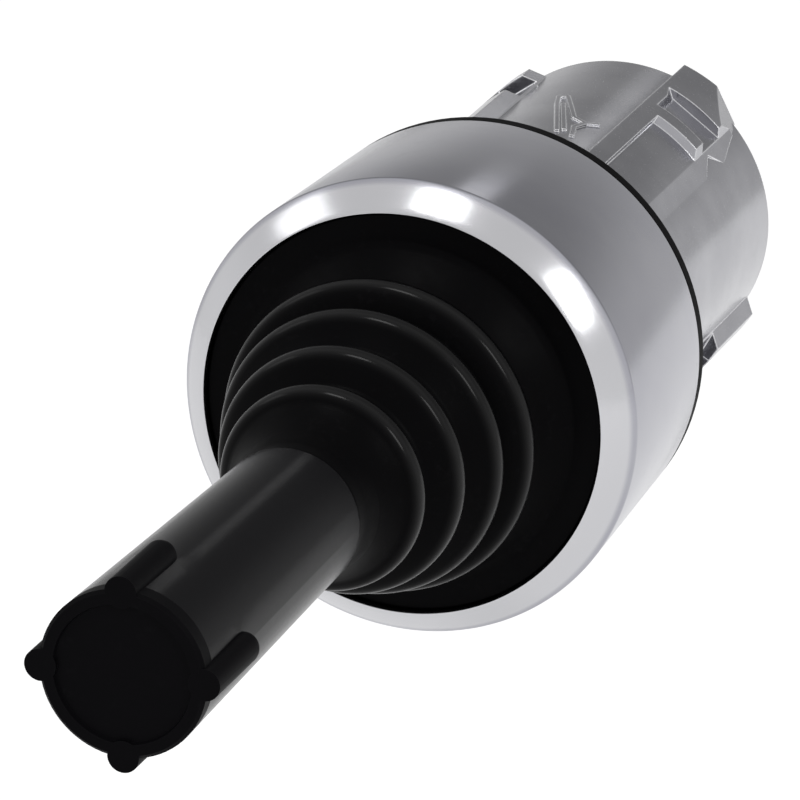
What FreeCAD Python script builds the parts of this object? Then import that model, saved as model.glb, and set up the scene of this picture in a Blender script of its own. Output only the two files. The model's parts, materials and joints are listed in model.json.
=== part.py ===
import FreeCAD, Part
import math
import os

# Industrial joystick for a 22 mm panel hole: a coordinate switch actuator with a spring centred lever.
# The Y axis is the centre line. The lever points towards -Y (the operator) and the barrel towards +Y.
# The origin is on the centre line at the panel seat, which is the rear face of the gasket.
# Lengths are in millimetres. Angles round the centre line start at +Z and grow towards +X.

# Clearances and small edges
RUNNING_CLEARANCE = 0.03
FIT_CLEARANCE = 0.05
CONTACT_GAP = 0.05
EDGE = 0.3
SOFT_EDGE = 0.15

# Plungers and barrel, from the inside outwards
PLUNGER_CENTRE_R = 5.7
PLUNGER_HEAD_R = 1.8
HEAD_CLEARANCE = 1.2
LAND_STEP = 0.5
BARREL_WALL = 0.94
RIB_HEIGHT = 0.79
COLLAR_STEP = 0.17
LAND_BORE_R = PLUNGER_CENTRE_R + PLUNGER_HEAD_R + HEAD_CLEARANCE
REAR_BORE_R = LAND_BORE_R + LAND_STEP
BARREL_R = REAR_BORE_R + BARREL_WALL
RIB_R = BARREL_R + RIB_HEIGHT
COLLAR_R = RIB_R + COLLAR_STEP

# Gimbal, cup, flange and bezel, from the inside outwards
HUB_R = 5.2
HUB_SWING_GAP = 1.0
RING_WALL = 2.4
RING_SWING_GAP = 0.8
CUP_WALL = 2.9
FLANGE_STEP = 0.9
BEZEL_WALL = 0.69
BEZEL_FLARE = 0.58
BEVEL_WIDTH = 1.85
RING_BORE_R = HUB_R + HUB_SWING_GAP
RING_R = RING_BORE_R + RING_WALL
CUP_BORE_R = RING_R + RING_SWING_GAP
CUP_R = CUP_BORE_R + CUP_WALL
HOUSING_FLANGE_R = CUP_R + FLANGE_STEP
BEZEL_REAR_R = HOUSING_FLANGE_R + FIT_CLEARANCE + BEZEL_WALL
BEZEL_FRONT_R = BEZEL_REAR_R + BEZEL_FLARE
BEZEL_OPENING_R = BEZEL_FRONT_R - BEVEL_WIDTH

# Panel interface
PANEL_SEAT_Y = 0.0
COLLAR_LENGTH = 4.0
GASKET_THICKNESS = 1.0
GASKET_INSET = 0.04
GASKET_GRIP = 0.5
GASKET_R = BEZEL_REAR_R - GASKET_INSET
GASKET_BORE_R = COLLAR_R - GASKET_GRIP

# Bezel along the axis
BEZEL_HEIGHT = 16.23
BEVEL_LENGTH = 1.76
BEVEL_BULGE = 0.14
BEZEL_LIP = 1.38
BEZEL_REAR_Y = PANEL_SEAT_Y - GASKET_THICKNESS
BEZEL_FRONT_Y = BEZEL_REAR_Y - BEZEL_HEIGHT
BEVEL_REAR_Y = BEZEL_FRONT_Y + BEVEL_LENGTH

# Barrel along the axis
HOUSING_FLANGE_THICKNESS = 1.6
HOUSING_FLANGE_FRONT_Y = BEZEL_REAR_Y - HOUSING_FLANGE_THICKNESS
LAND_FRONT_Y = 3.6
LAND_REAR_Y = 9.0
BARREL_REAR_Y = 25.8

# Bayonet ribs on the barrel
RIB_ROOT_R = BARREL_R - BARREL_WALL / 2
RIB_FRONT_Y = COLLAR_LENGTH - 0.5
TONGUE_LENGTH = 1.0
MAIN_RIB_REAR_Y = BARREL_REAR_Y + TONGUE_LENGTH
MAIN_RIB_START = 20.0
MAIN_RIB_CREST_END = 47.0
MAIN_RIB_FOOT_END = 56.0
MAIN_RIB_CENTRE = 37.0
FLANK_OUTSIDE = MAIN_RIB_FOOT_END + 4.0
FLANK_EDGE = MAIN_RIB_CREST_END + 1.5
SLOT_FROM_REAR = 5.5
SLOT_FRONT_Y = BARREL_REAR_Y - SLOT_FROM_REAR
SLOT_BEVEL = 1.4
SLOT_WIDTH = 2.2
SLOT_FLOOR_Y = SLOT_FRONT_Y + SLOT_BEVEL
SLOT_REAR_Y = SLOT_FLOOR_Y + SLOT_WIDTH
SLOT_CORNER = 28.0
SLOT_END = 23.5
SLOT_FLOOR_R = BARREL_R + 0.06
PANEL_HALF_WIDTH = 1.65
PANEL_FLOOR_R = BARREL_R + 0.26
PANEL_RAMP_Y = SLOT_FRONT_Y - 2.9
PANEL_END_Y = SLOT_FRONT_Y - 1.2
SIDE_RIBS = {"left": (-59.0, -31.0), "right": (118.0, 149.0), "lower": (203.0, 233.0)}
SIDE_SLOT_FROM_REAR = {"left": (5.0, 2.4), "right": (13.1, 9.2), "lower": (5.0, 2.4)}
SIDE_SLOT_HALF_WIDTH = 1.6
SIDE_SLOT_BEVEL = 0.8
CUTTER_R = 1.3 * RIB_R

# Cuts in the main rib, as (angle, y) outlines on the barrel
NOTCH_LENGTH = 7.3
NOTCH_TIP = 4.2
NOTCH_REAR_Y = SLOT_FRONT_Y + SLOT_WIDTH
FLANK_NOTCH = [(FLANK_OUTSIDE, NOTCH_REAR_Y - NOTCH_LENGTH), (50.0, NOTCH_REAR_Y - NOTCH_LENGTH + NOTCH_TIP),
               (FLANK_OUTSIDE, NOTCH_REAR_Y)]
TAPER_LENGTH = 6.0
FLANK_TAPER = [(FLANK_OUTSIDE, MAIN_RIB_REAR_Y - TAPER_LENGTH), (FLANK_EDGE, MAIN_RIB_REAR_Y - TONGUE_LENGTH),
               (FLANK_EDGE, MAIN_RIB_REAR_Y + 1.0), (FLANK_OUTSIDE, MAIN_RIB_REAR_Y + 1.0)]
TONGUE_CORNER = [(33.0, MAIN_RIB_REAR_Y + 0.2), (FLANK_EDGE, MAIN_RIB_REAR_Y - 1.6),
                 (FLANK_EDGE, MAIN_RIB_REAR_Y + 1.0), (33.0, MAIN_RIB_REAR_Y + 1.0)]
MAIN_SLOT = [(SLOT_CORNER, SLOT_FRONT_Y), (SLOT_CORNER, SLOT_FLOOR_Y), (SLOT_END, SLOT_REAR_Y),
             (FLANK_OUTSIDE, SLOT_REAR_Y), (FLANK_OUTSIDE, SLOT_FRONT_Y)]

# Raised orientation mark on top of the barrel: strokes as (angle, y) pairs
MARK_STROKES = [
    [(4.9, 10.3), (-5.1, 15.7), (-7.4, 17.3), (-4.0, 17.3), (6.0, 13.2), (11.3, 12.6), (15.0, 13.1)],
    [(-2.5, 15.5), (6.8, 10.7)],
    [(11.1, 10.0), (9.1, 11.5), (11.3, 12.6)],
]
MARK_HALF_WIDTH = 0.16
MARK_HEIGHT = 0.15

# Bellows and its clamp: each peak as (radius, distance in front of the bezel)
FLANGE_FACE_DEPTH = 0.48
FLANGE_SEAT_DEPTH = 2.43
BELLOWS_FLANGE_REAR_Y = BEZEL_FRONT_Y + FLANGE_SEAT_DEPTH
BELLOWS_RIM_R = HOUSING_FLANGE_R - FIT_CLEARANCE
BELLOWS_OPENING_R = CUP_BORE_R - 0.6
BELLOWS_WALL = 0.7
BELLOWS_PEAKS = [(9.92, 3.97), (8.99, 7.07), (7.79, 10.57), (6.44, 13.87)]
PEAK_HALF_WIDTH = 1.15
PEAK_DROP = 0.95
PEAK_LEAN = 0.35
VALLEY_DIP = 0.25
VALLEY_SHIFT = 0.4
SHOULDER_OUT = 0.6
SHOULDER_IN = 0.5
SHOULDER_HEIGHT = 0.9
NECK_R = 4.25
NECK_FLARE = 0.15
NECK_START = 1.4
NECK_REACH = 19.07
NECK_END_Y = BEZEL_FRONT_Y - NECK_REACH
CLAMP_THICKNESS = 1.0
CLAMP_BORE_R = CUP_BORE_R + 0.5
CUP_FRONT_Y = BELLOWS_FLANGE_REAR_Y + CLAMP_THICKNESS

# Gimbal: the ring turns about X in the housing, the hub turns about Z in the ring
PIVOT_Y = -5.0
RING_HALF_WIDTH = 2.2
TRUNNION_R = 1.2
TRUNNION_START = RING_BORE_R + 0.2
TRUNNION_END = CUP_R - 0.7
BUSH_WALL = 0.8
BUSH_R = TRUNNION_R + BUSH_WALL
BUSH_FLANGE_R = BUSH_R + 0.6
BUSH_FLANGE_THICKNESS = 0.5
BUSH_START = CUP_BORE_R - BUSH_FLANGE_THICKNESS
BUSH_END = CUP_R - 0.2
HUB_HALF_WIDTH = 2.6
HUB_EDGE = 1.2
HUB_PIN_R = 1.1
HUB_PIN_START = HUB_R - 2.2
HUB_PIN_END = RING_R - 0.2
HUB_PAD_R = HUB_PIN_R + 0.9
HUB_PAD_END = RING_BORE_R - 0.6

# Lever rod, grip and end cap
ROD_R = 2.5
ROD_TAIL_R = 1.6
GRIP_GAP = 0.13
GRIP_LENGTH = 27.21
GRIP_REAR_R = 4.38
LEVER_END_R = 4.99
GRIP_REAR_Y = NECK_END_Y - GRIP_GAP
LEVER_END_Y = GRIP_REAR_Y - GRIP_LENGTH
CAP_THICKNESS = 1.3
CAP_SPIGOT_LENGTH = 2.3
CAP_EDGE = 0.2
CAP_DISH_R = 4.05
CAP_DISH_DEPTH = 0.25
ROD_FRONT_Y = LEVER_END_Y + CAP_THICKNESS + CAP_SPIGOT_LENGTH + 0.54
FINGER_R = 0.95
FINGER_LENGTH = 7.04
FINGER_CENTRE_R = LEVER_END_R - 0.11

# Actuating spider and its clip
SPIDER_BOSS_R = ROD_TAIL_R + 1.4
SPIDER_FRONT_Y = -0.3
SPIDER_THICKNESS = 1.1
SPIDER_REAR_Y = SPIDER_FRONT_Y + SPIDER_THICKNESS
ARM_HALF_WIDTH = 0.9
DOME_R = 0.9
DOME_SINK = 0.1
DOME_CENTRE_Y = SPIDER_REAR_Y - DOME_SINK
CLIP_R = ROD_TAIL_R + 0.3
CLIP_THICKNESS = 0.5
CLIP_GROOVE_R = ROD_TAIL_R - 0.5
CLIP_GROOVE_REAR_Y = SPIDER_REAR_Y + CLIP_THICKNESS
CLIP_MOUTH = 2.2
ROD_REAR_Y = CLIP_GROOVE_REAR_Y + 0.5

# Plungers, springs and their carrier
PLUNGER_HEAD_FRONT_Y = DOME_CENTRE_Y + DOME_R + CONTACT_GAP
PLUNGER_HEAD_THICKNESS = 1.2
PLUNGER_HEAD_REAR_Y = PLUNGER_HEAD_FRONT_Y + PLUNGER_HEAD_THICKNESS
PLUNGER_STEM_R = 1.2
PLUNGER_REAR_Y = BARREL_REAR_Y - 0.6
SPRING_WIRE_R = 0.2
SPRING_WIRE_SIDES = 8
SPRING_MEAN_R = PLUNGER_STEM_R + SPRING_WIRE_R + 0.2
SPRING_TURNS = 4.5
CARRIER_R = REAR_BORE_R - FIT_CLEARANCE
CARRIER_REAR_Y = BARREL_REAR_Y - 1.6
CARRIER_PLATE_THICKNESS = 2.5
CARRIER_CORE_R = 4.2
CARRIER_WELL_R = 2.6
CARRIER_WELL_DEPTH = 9.0
CARRIER_WEB_HALF_WIDTH = 0.8
RETAINER_THICKNESS = 0.8
RETAINER_R = REAR_BORE_R + 0.4
RETAINER_BORE_R = REAR_BORE_R - 0.9
RETAINER_MOUTH = 34.0
RETAINER_MOUTH_ANGLE = 225.0
EAR_R = 0.95
EAR_HOLE_R = 0.4
EAR_CENTRE_R = RETAINER_BORE_R - 0.6
EAR_ANGLE = 3.0

ORIGIN = FreeCAD.Vector(0, 0, 0)
AXIS = FreeCAD.Vector(0, 1, 0)
QUARTERS = {"top": 0, "right": 90, "bottom": 180, "left": 270}


def vector(x, y, z):
    return FreeCAD.Vector(x, y, z)


def on_circle(radius, angle, y=0.0):
    """Point at the given radius and angle round the centre line."""
    turn = math.radians(angle)
    return vector(radius * math.sin(turn), y, radius * math.cos(turn))


def around(shape, angle):
    """Copy of a shape turned round the centre line."""
    turned_copy = shape.copy()
    turned_copy.rotate(ORIGIN, AXIS, angle)
    return turned_copy


def rod(radius, y_from, y_to):
    return Part.makeCylinder(radius, y_to - y_from, vector(0, y_from, 0), AXIS)


def tube(outer_r, inner_r, y_from, y_to):
    return rod(outer_r, y_from, y_to).cut(rod(inner_r, y_from - 1, y_to + 1))


def cross_rod(radius, x_from, x_to, y):
    """Rod along X that crosses the centre line at the given y."""
    return Part.makeCylinder(radius, x_to - x_from, vector(x_from, y, 0), vector(1, 0, 0))


def upright_rod(radius, z_from, z_to, y):
    """Rod along Z that crosses the centre line at the given y."""
    return Part.makeCylinder(radius, z_to - z_from, vector(0, y, z_from), vector(0, 0, 1))


def turned(profile):
    """Solid of revolution about the centre line from (radius, y) corners."""
    corners = [vector(radius, y, 0) for radius, y in profile]
    return Part.Face(Part.makePolygon(corners + corners[:1])).revolve(ORIGIN, AXIS, 360)


def turned_edges(edges):
    """Solid of revolution about the centre line from a closed chain of edges."""
    return Part.Face(Part.Wire(edges)).revolve(ORIGIN, AXIS, 360)


def line(start, end):
    """Profile line between two (radius, y) points."""
    return Part.makeLine(vector(start[0], start[1], 0), vector(end[0], end[1], 0))


def arc(start, middle, end):
    """Profile arc through three (radius, y) points."""
    points = [vector(radius, y, 0) for radius, y in (start, middle, end)]
    return Part.Arc(*points).toShape()


def section_prism(corners, y_from, y_to):
    """Prism along Y from (radius, angle) corners of its cross section."""
    points = [on_circle(radius, angle, y_from) for radius, angle in corners]
    face = Part.Face(Part.makePolygon(points + points[:1]))
    return face.extrude(vector(0, y_to - y_from, 0))


def plan_prism(outline, centre_angle):
    """Radial cutter whose outline on the barrel is given as (angle, y) corners."""
    points = []
    for angle, y in outline:
        offset = BARREL_R * math.sin(math.radians(angle - centre_angle))
        points.append(vector(offset, y, 0))
    face = Part.Face(Part.makePolygon(points + points[:1]))
    return around(face.extrude(vector(0, 0, CUTTER_R)), centre_angle)


def side_prism(profile, x_from, x_to, centre_angle):
    """Cutter along the tangent whose depth profile is given as (y, radius) corners."""
    points = [vector(x_from, y, radius) for y, radius in profile]
    face = Part.Face(Part.makePolygon(points + points[:1]))
    return around(face.extrude(vector(x_to - x_from, 0, 0)), centre_angle)


def rib_ring(y_from, y_to):
    """Annulus that limits a bayonet rib to its root and crest radii."""
    return tube(RIB_R, RIB_ROOT_R, y_from, y_to)


def main_rib_slot():
    """Bayonet slot across the main rib, with a bevelled front wall and an angled closed end."""
    depth = [(SLOT_FRONT_Y, RIB_R), (SLOT_FLOOR_Y, SLOT_FLOOR_R), (SLOT_REAR_Y, SLOT_FLOOR_R),
             (SLOT_REAR_Y, CUTTER_R), (SLOT_FRONT_Y, CUTTER_R)]
    bevelled = side_prism(depth, -CUTTER_R, CUTTER_R, MAIN_RIB_CENTRE)
    return plan_prism(MAIN_SLOT, MAIN_RIB_CENTRE).common(bevelled)


def main_rib_panel():
    """Long shallow panel in the crest of the main rib that climbs back to the crest on a ramp."""
    depth = [(PANEL_SEAT_Y, PANEL_FLOOR_R), (PANEL_RAMP_Y, PANEL_FLOOR_R), (PANEL_END_Y, RIB_R),
             (PANEL_END_Y, CUTTER_R), (PANEL_SEAT_Y, CUTTER_R)]
    return side_prism(depth, -PANEL_HALF_WIDTH, PANEL_HALF_WIDTH, MAIN_RIB_CENTRE)


def main_rib():
    """Bayonet rib: one steep side, one sloping flank with a V notch, a panel and a cross slot."""
    section = [(0, 0), (CUTTER_R, MAIN_RIB_START), (CUTTER_R, MAIN_RIB_CREST_END),
               (RIB_R, MAIN_RIB_CREST_END), (BARREL_R, MAIN_RIB_FOOT_END)]
    rib = section_prism(section, RIB_FRONT_Y, MAIN_RIB_REAR_Y)
    rib = rib.common(rib_ring(RIB_FRONT_Y, MAIN_RIB_REAR_Y))
    rib = rib.cut(plan_prism(FLANK_NOTCH, MAIN_RIB_FOOT_END))
    rib = rib.cut(plan_prism(FLANK_TAPER, MAIN_RIB_FOOT_END))
    rib = rib.cut(plan_prism(TONGUE_CORNER, MAIN_RIB_CENTRE))
    return rib.cut(main_rib_slot()).cut(main_rib_panel())


def side_rib(name):
    """Plain bayonet rib with parallel sides and one cross slot."""
    start, end = SIDE_RIBS[name]
    centre = (start + end) / 2
    slot_front, slot_rear = [BARREL_REAR_Y - distance for distance in SIDE_SLOT_FROM_REAR[name]]
    section = [(0, 0), (CUTTER_R, start), (CUTTER_R, end)]
    rib = section_prism(section, RIB_FRONT_Y, BARREL_REAR_Y).common(rib_ring(RIB_FRONT_Y, BARREL_REAR_Y))
    bevel_y = slot_front - SIDE_SLOT_BEVEL
    depth = [(bevel_y, RIB_R), (slot_front, SLOT_FLOOR_R), (slot_rear, SLOT_FLOOR_R),
             (slot_rear, CUTTER_R), (bevel_y, CUTTER_R)]
    return rib.cut(side_prism(depth, -SIDE_SLOT_HALF_WIDTH, SIDE_SLOT_HALF_WIDTH, centre))


def mark_stroke(start, end):
    """One straight raised bar between two (angle, y) points on the barrel."""
    centre = (start[0] + end[0]) / 2
    tail = vector(BARREL_R * math.sin(math.radians(start[0] - centre)), start[1], 0)
    tip = vector(BARREL_R * math.sin(math.radians(end[0] - centre)), end[1], 0)
    along = (tip - tail).normalize()
    across = vector(-along.y, along.x, 0) * MARK_HALF_WIDTH
    tail = tail - along * MARK_HALF_WIDTH
    tip = tip + along * MARK_HALF_WIDTH
    points = [tail - across, tip - across, tip + across, tail + across]
    bar = Part.Face(Part.makePolygon(points + points[:1])).extrude(vector(0, 0, CUTTER_R))
    return around(bar, centre)


def orientation_mark():
    """Raised outline of a slender arrow that shows which way up the barrel goes."""
    bars = []
    for stroke in MARK_STROKES:
        bars += [mark_stroke(start, end) for start, end in zip(stroke, stroke[1:])]
    relief = tube(BARREL_R + MARK_HEIGHT, RIB_ROOT_R, COLLAR_LENGTH, BARREL_REAR_Y)
    return bars[0].multiFuse(bars[1:]).common(relief)


def barrel_housing():
    """Die cast body: cup for the gimbal, panel flange, centring collar and ribbed barrel."""
    body = turned([
        (CUP_BORE_R, CUP_FRONT_Y),
        (CUP_R - EDGE, CUP_FRONT_Y),
        (CUP_R, CUP_FRONT_Y + EDGE),
        (CUP_R, HOUSING_FLANGE_FRONT_Y),
        (HOUSING_FLANGE_R, HOUSING_FLANGE_FRONT_Y),
        (HOUSING_FLANGE_R, BEZEL_REAR_Y),
        (GASKET_BORE_R, BEZEL_REAR_Y),
        (GASKET_BORE_R, PANEL_SEAT_Y),
        (COLLAR_R, PANEL_SEAT_Y),
        (COLLAR_R, COLLAR_LENGTH - EDGE),
        (COLLAR_R - EDGE, COLLAR_LENGTH),
        (BARREL_R, COLLAR_LENGTH),
        (BARREL_R, BARREL_REAR_Y - EDGE),
        (BARREL_R - EDGE, BARREL_REAR_Y),
        (REAR_BORE_R, BARREL_REAR_Y),
        (REAR_BORE_R, LAND_REAR_Y),
        (LAND_BORE_R, LAND_REAR_Y),
        (LAND_BORE_R, LAND_FRONT_Y),
        (CUP_BORE_R, LAND_FRONT_Y),
    ])
    ribs = [main_rib()] + [side_rib(name) for name in SIDE_RIBS]
    body = body.multiFuse(ribs + [orientation_mark()])
    groove = rod(RETAINER_R + FIT_CLEARANCE, CARRIER_REAR_Y, CARRIER_REAR_Y + RETAINER_THICKNESS)
    body = body.cut(groove)
    for side in (0, 180):
        bush_seat = cross_rod(BUSH_R, CUP_BORE_R - 1, CUP_R + 1, PIVOT_Y)
        flange_seat = cross_rod(BUSH_FLANGE_R, BUSH_START - 1, BUSH_START + BUSH_FLANGE_THICKNESS, PIVOT_Y)
        body = body.cut(around(bush_seat.fuse(flange_seat), side))
    return body.removeSplitter()


def panel_gasket():
    """Rubber ring between the housing flange and the panel, gripped behind the collar by a bevelled bore."""
    bevel_y = PANEL_SEAT_Y - GASKET_GRIP
    return turned([
        (GASKET_BORE_R, BEZEL_REAR_Y),
        (GASKET_R - SOFT_EDGE, BEZEL_REAR_Y),
        (GASKET_R, BEZEL_REAR_Y + SOFT_EDGE),
        (GASKET_R, PANEL_SEAT_Y - SOFT_EDGE),
        (GASKET_R - SOFT_EDGE, PANEL_SEAT_Y),
        (COLLAR_R + FIT_CLEARANCE, PANEL_SEAT_Y),
        (GASKET_BORE_R, bevel_y),
    ])


def front_bezel():
    """Bright ring: slightly flared skirt, rounded bevel, opening lip and groove for the bellows rim."""
    groove_front_y = BEZEL_FRONT_Y + BEZEL_LIP
    outer_rear = (BEZEL_REAR_R, BEZEL_REAR_Y)
    outer_front = (BEZEL_FRONT_R, BEVEL_REAR_Y)
    opening_front = (BEZEL_OPENING_R, BEZEL_FRONT_Y)
    bevel_middle = ((BEZEL_FRONT_R + BEZEL_OPENING_R) / 2 + BEVEL_BULGE,
                    (BEVEL_REAR_Y + BEZEL_FRONT_Y) / 2 - BEVEL_BULGE)
    corners = [
        opening_front,
        (BEZEL_OPENING_R, groove_front_y),
        (BELLOWS_RIM_R + FIT_CLEARANCE, groove_front_y),
        (BELLOWS_RIM_R + FIT_CLEARANCE, BELLOWS_FLANGE_REAR_Y),
        (CUP_R + FIT_CLEARANCE, BELLOWS_FLANGE_REAR_Y),
        (CUP_R + FIT_CLEARANCE, HOUSING_FLANGE_FRONT_Y),
        (HOUSING_FLANGE_R + FIT_CLEARANCE, HOUSING_FLANGE_FRONT_Y),
        (HOUSING_FLANGE_R + FIT_CLEARANCE, BEZEL_REAR_Y),
        outer_rear,
        outer_front,
    ]
    edges = [line(start, end) for start, end in zip(corners, corners[1:])]
    edges.append(arc(outer_front, bevel_middle, opening_front))
    return turned_edges(edges)


def bellows_wave():
    """Outer line of the convolutions, from the flange towards the neck."""
    edges = []
    previous = None
    for radius, reach in BELLOWS_PEAKS:
        y = BEZEL_FRONT_Y - reach
        start = (radius - PEAK_DROP + PEAK_LEAN, y + PEAK_HALF_WIDTH)
        end = (radius - PEAK_DROP - PEAK_LEAN, y - PEAK_HALF_WIDTH)
        if previous:
            valley = ((previous[0] + start[0]) / 2 - VALLEY_DIP, (previous[1] + start[1]) / 2)
            edges.append(arc(previous, valley, start))
        edges.append(arc(start, (radius, y), end))
        previous = end
    return edges


def bellows():
    """Rubber boot: clamped flange, four convolutions and a neck that grips the rod."""
    face_y = BEZEL_FRONT_Y + FLANGE_FACE_DEPTH
    lip_y = BEZEL_FRONT_Y + BEZEL_LIP
    wave = bellows_wave()
    wave_start = wave[0].Vertexes[0].Point
    wave_end = wave[-1].Vertexes[-1].Point
    first_r = BELLOWS_PEAKS[0][0]
    front = [
        (BELLOWS_RIM_R, BELLOWS_FLANGE_REAR_Y),
        (BELLOWS_RIM_R, lip_y),
        (BEZEL_OPENING_R - FIT_CLEARANCE, lip_y),
        (BEZEL_OPENING_R - FIT_CLEARANCE, face_y),
        (first_r + SHOULDER_OUT, face_y),
        (first_r - SHOULDER_IN, face_y - SHOULDER_HEIGHT),
        (wave_start.x, wave_start.y),
    ]
    back = [
        (wave_end.x, wave_end.y),
        (NECK_R + NECK_FLARE, wave_end.y - NECK_START),
        (NECK_R, NECK_END_Y),
        (ROD_R + FIT_CLEARANCE, NECK_END_Y),
        (ROD_R + FIT_CLEARANCE, wave_end.y - NECK_START),
        (wave_end.x - BELLOWS_WALL, wave_end.y),
    ]
    for radius, reach in reversed(BELLOWS_PEAKS):
        y = BEZEL_FRONT_Y - reach
        back.append((radius - BELLOWS_WALL, y))
        back.append((radius - PEAK_DROP - BELLOWS_WALL, y + PEAK_HALF_WIDTH + VALLEY_SHIFT))
    back.append((BELLOWS_OPENING_R, BELLOWS_FLANGE_REAR_Y))
    back.append(front[0])
    edges = [line(start, end) for start, end in zip(front, front[1:])]
    edges += wave
    edges += [line(start, end) for start, end in zip(back, back[1:])]
    return turned_edges(edges)


def bellows_clamp_ring():
    """Flat ring that presses the bellows flange against the bezel lip."""
    return tube(CUP_R, CLAMP_BORE_R, BELLOWS_FLANGE_REAR_Y, CUP_FRONT_Y)


def both_ways(shape):
    """The shape and its twin half a turn round the centre line, as one node."""
    return Part.makeCompound([shape, around(shape, 180)])


def gimbal_bushes():
    """Flanged bearing bushes in the housing wall for the trunnions."""
    body = cross_rod(BUSH_R, BUSH_START, BUSH_END, PIVOT_Y)
    flange = cross_rod(BUSH_FLANGE_R, BUSH_START, BUSH_START + BUSH_FLANGE_THICKNESS, PIVOT_Y)
    bore = cross_rod(TRUNNION_R + RUNNING_CLEARANCE, BUSH_START - 1, BUSH_END + 1, PIVOT_Y)
    return both_ways(body.fuse(flange).cut(bore).removeSplitter())


def gimbal_ring():
    """Ring that turns about X in the housing and carries the hub about Z."""
    rear_y = PIVOT_Y + RING_HALF_WIDTH
    front_y = PIVOT_Y - RING_HALF_WIDTH
    ring = turned([
        (RING_BORE_R, front_y),
        (RING_R - EDGE, front_y),
        (RING_R, front_y + EDGE),
        (RING_R, rear_y - EDGE),
        (RING_R - EDGE, rear_y),
        (RING_BORE_R, rear_y),
    ])
    ring = ring.cut(cross_rod(TRUNNION_R, -RING_R - 1, RING_R + 1, PIVOT_Y))
    return ring.cut(upright_rod(HUB_PIN_R, -RING_R - 1, RING_R + 1, PIVOT_Y))


def gimbal_trunnions():
    """Pins pressed in the ring that run in the housing bushes."""
    return both_ways(cross_rod(TRUNNION_R, TRUNNION_START, TRUNNION_END, PIVOT_Y))


def hub_pins():
    """Pins pressed in the ring that carry the lever hub."""
    return both_ways(upright_rod(HUB_PIN_R, HUB_PIN_START, HUB_PIN_END, PIVOT_Y))


def lever_hub():
    """Hub on the lever rod with two bearing pads for the hub pins."""
    waist = HUB_HALF_WIDTH - HUB_EDGE
    profile = [
        (ROD_TAIL_R, PIVOT_Y - HUB_HALF_WIDTH),
        (HUB_R - HUB_EDGE, PIVOT_Y - HUB_HALF_WIDTH),
        (HUB_R, PIVOT_Y - waist),
        (HUB_R, PIVOT_Y + waist),
        (HUB_R - HUB_EDGE, PIVOT_Y + HUB_HALF_WIDTH),
        (ROD_TAIL_R, PIVOT_Y + HUB_HALF_WIDTH),
    ]
    hub = turned(profile)
    for side in (0, 180):
        pad = upright_rod(HUB_PAD_R, HUB_R - 1, HUB_PAD_END, PIVOT_Y)
        bore = upright_rod(HUB_PIN_R + RUNNING_CLEARANCE, HUB_PIN_START - 0.1, HUB_PAD_END + 1, PIVOT_Y)
        hub = hub.fuse(around(pad, side)).cut(around(bore, side))
    return hub.removeSplitter()


def lever_rod():
    """Steel rod: thick in the grip and boot, stepped down through the hub and the spider."""
    step_y = PIVOT_Y - HUB_HALF_WIDTH
    return turned([
        (0, ROD_FRONT_Y),
        (ROD_R - EDGE, ROD_FRONT_Y),
        (ROD_R, ROD_FRONT_Y + EDGE),
        (ROD_R, step_y),
        (ROD_TAIL_R, step_y),
        (ROD_TAIL_R, SPIDER_REAR_Y),
        (CLIP_GROOVE_R, SPIDER_REAR_Y),
        (CLIP_GROOVE_R, CLIP_GROOVE_REAR_Y),
        (ROD_TAIL_R, CLIP_GROOVE_REAR_Y),
        (ROD_TAIL_R, ROD_REAR_Y - EDGE),
        (ROD_TAIL_R - EDGE, ROD_REAR_Y),
        (0, ROD_REAR_Y),
    ])


def grip_radius(y):
    """Radius of the tapered grip at a given y."""
    share = (y - GRIP_REAR_Y) / (LEVER_END_Y - GRIP_REAR_Y)
    return GRIP_REAR_R + share * (LEVER_END_R - GRIP_REAR_R)


def finger():
    """One round backed finger of the end cap, lying along the top of the grip."""
    straight = FINGER_LENGTH - FINGER_R
    bar = Part.makeCylinder(FINGER_R, straight, vector(0, LEVER_END_Y, FINGER_CENTRE_R), AXIS)
    return bar.fuse(Part.makeSphere(FINGER_R, vector(0, LEVER_END_Y + straight, FINGER_CENTRE_R)))


def grip_handle():
    """Tapered moulded grip, bored for the rod and grooved for the fingers of the cap."""
    front_y = LEVER_END_Y + CAP_THICKNESS
    grip = turned([
        (ROD_R, GRIP_REAR_Y),
        (GRIP_REAR_R - EDGE, GRIP_REAR_Y),
        (grip_radius(GRIP_REAR_Y - EDGE), GRIP_REAR_Y - EDGE),
        (grip_radius(front_y), front_y),
        (ROD_R, front_y),
    ])
    for angle in QUARTERS.values():
        grip = grip.cut(around(finger(), angle))
    return grip


def grip_end_cap():
    """End cap: dished face, spigot in the grip bore and four fingers that clip along the grip."""
    seat_y = LEVER_END_Y + CAP_THICKNESS
    dish_y = LEVER_END_Y + CAP_DISH_DEPTH
    cap = turned([
        (0, dish_y),
        (CAP_DISH_R, dish_y),
        (CAP_DISH_R + CAP_EDGE / 2, LEVER_END_Y),
        (LEVER_END_R - CAP_EDGE, LEVER_END_Y),
        (LEVER_END_R, LEVER_END_Y + CAP_EDGE),
        (grip_radius(seat_y), seat_y),
        (ROD_R - FIT_CLEARANCE, seat_y),
        (ROD_R - FIT_CLEARANCE, seat_y + CAP_SPIGOT_LENGTH),
        (0, seat_y + CAP_SPIGOT_LENGTH),
    ])
    spigot_keep = rod(ROD_R - FIT_CLEARANCE, LEVER_END_Y, seat_y + CAP_SPIGOT_LENGTH)
    fingers = [around(finger(), angle).cut(spigot_keep) for angle in QUARTERS.values()]
    return cap.multiFuse(fingers).removeSplitter()


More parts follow.
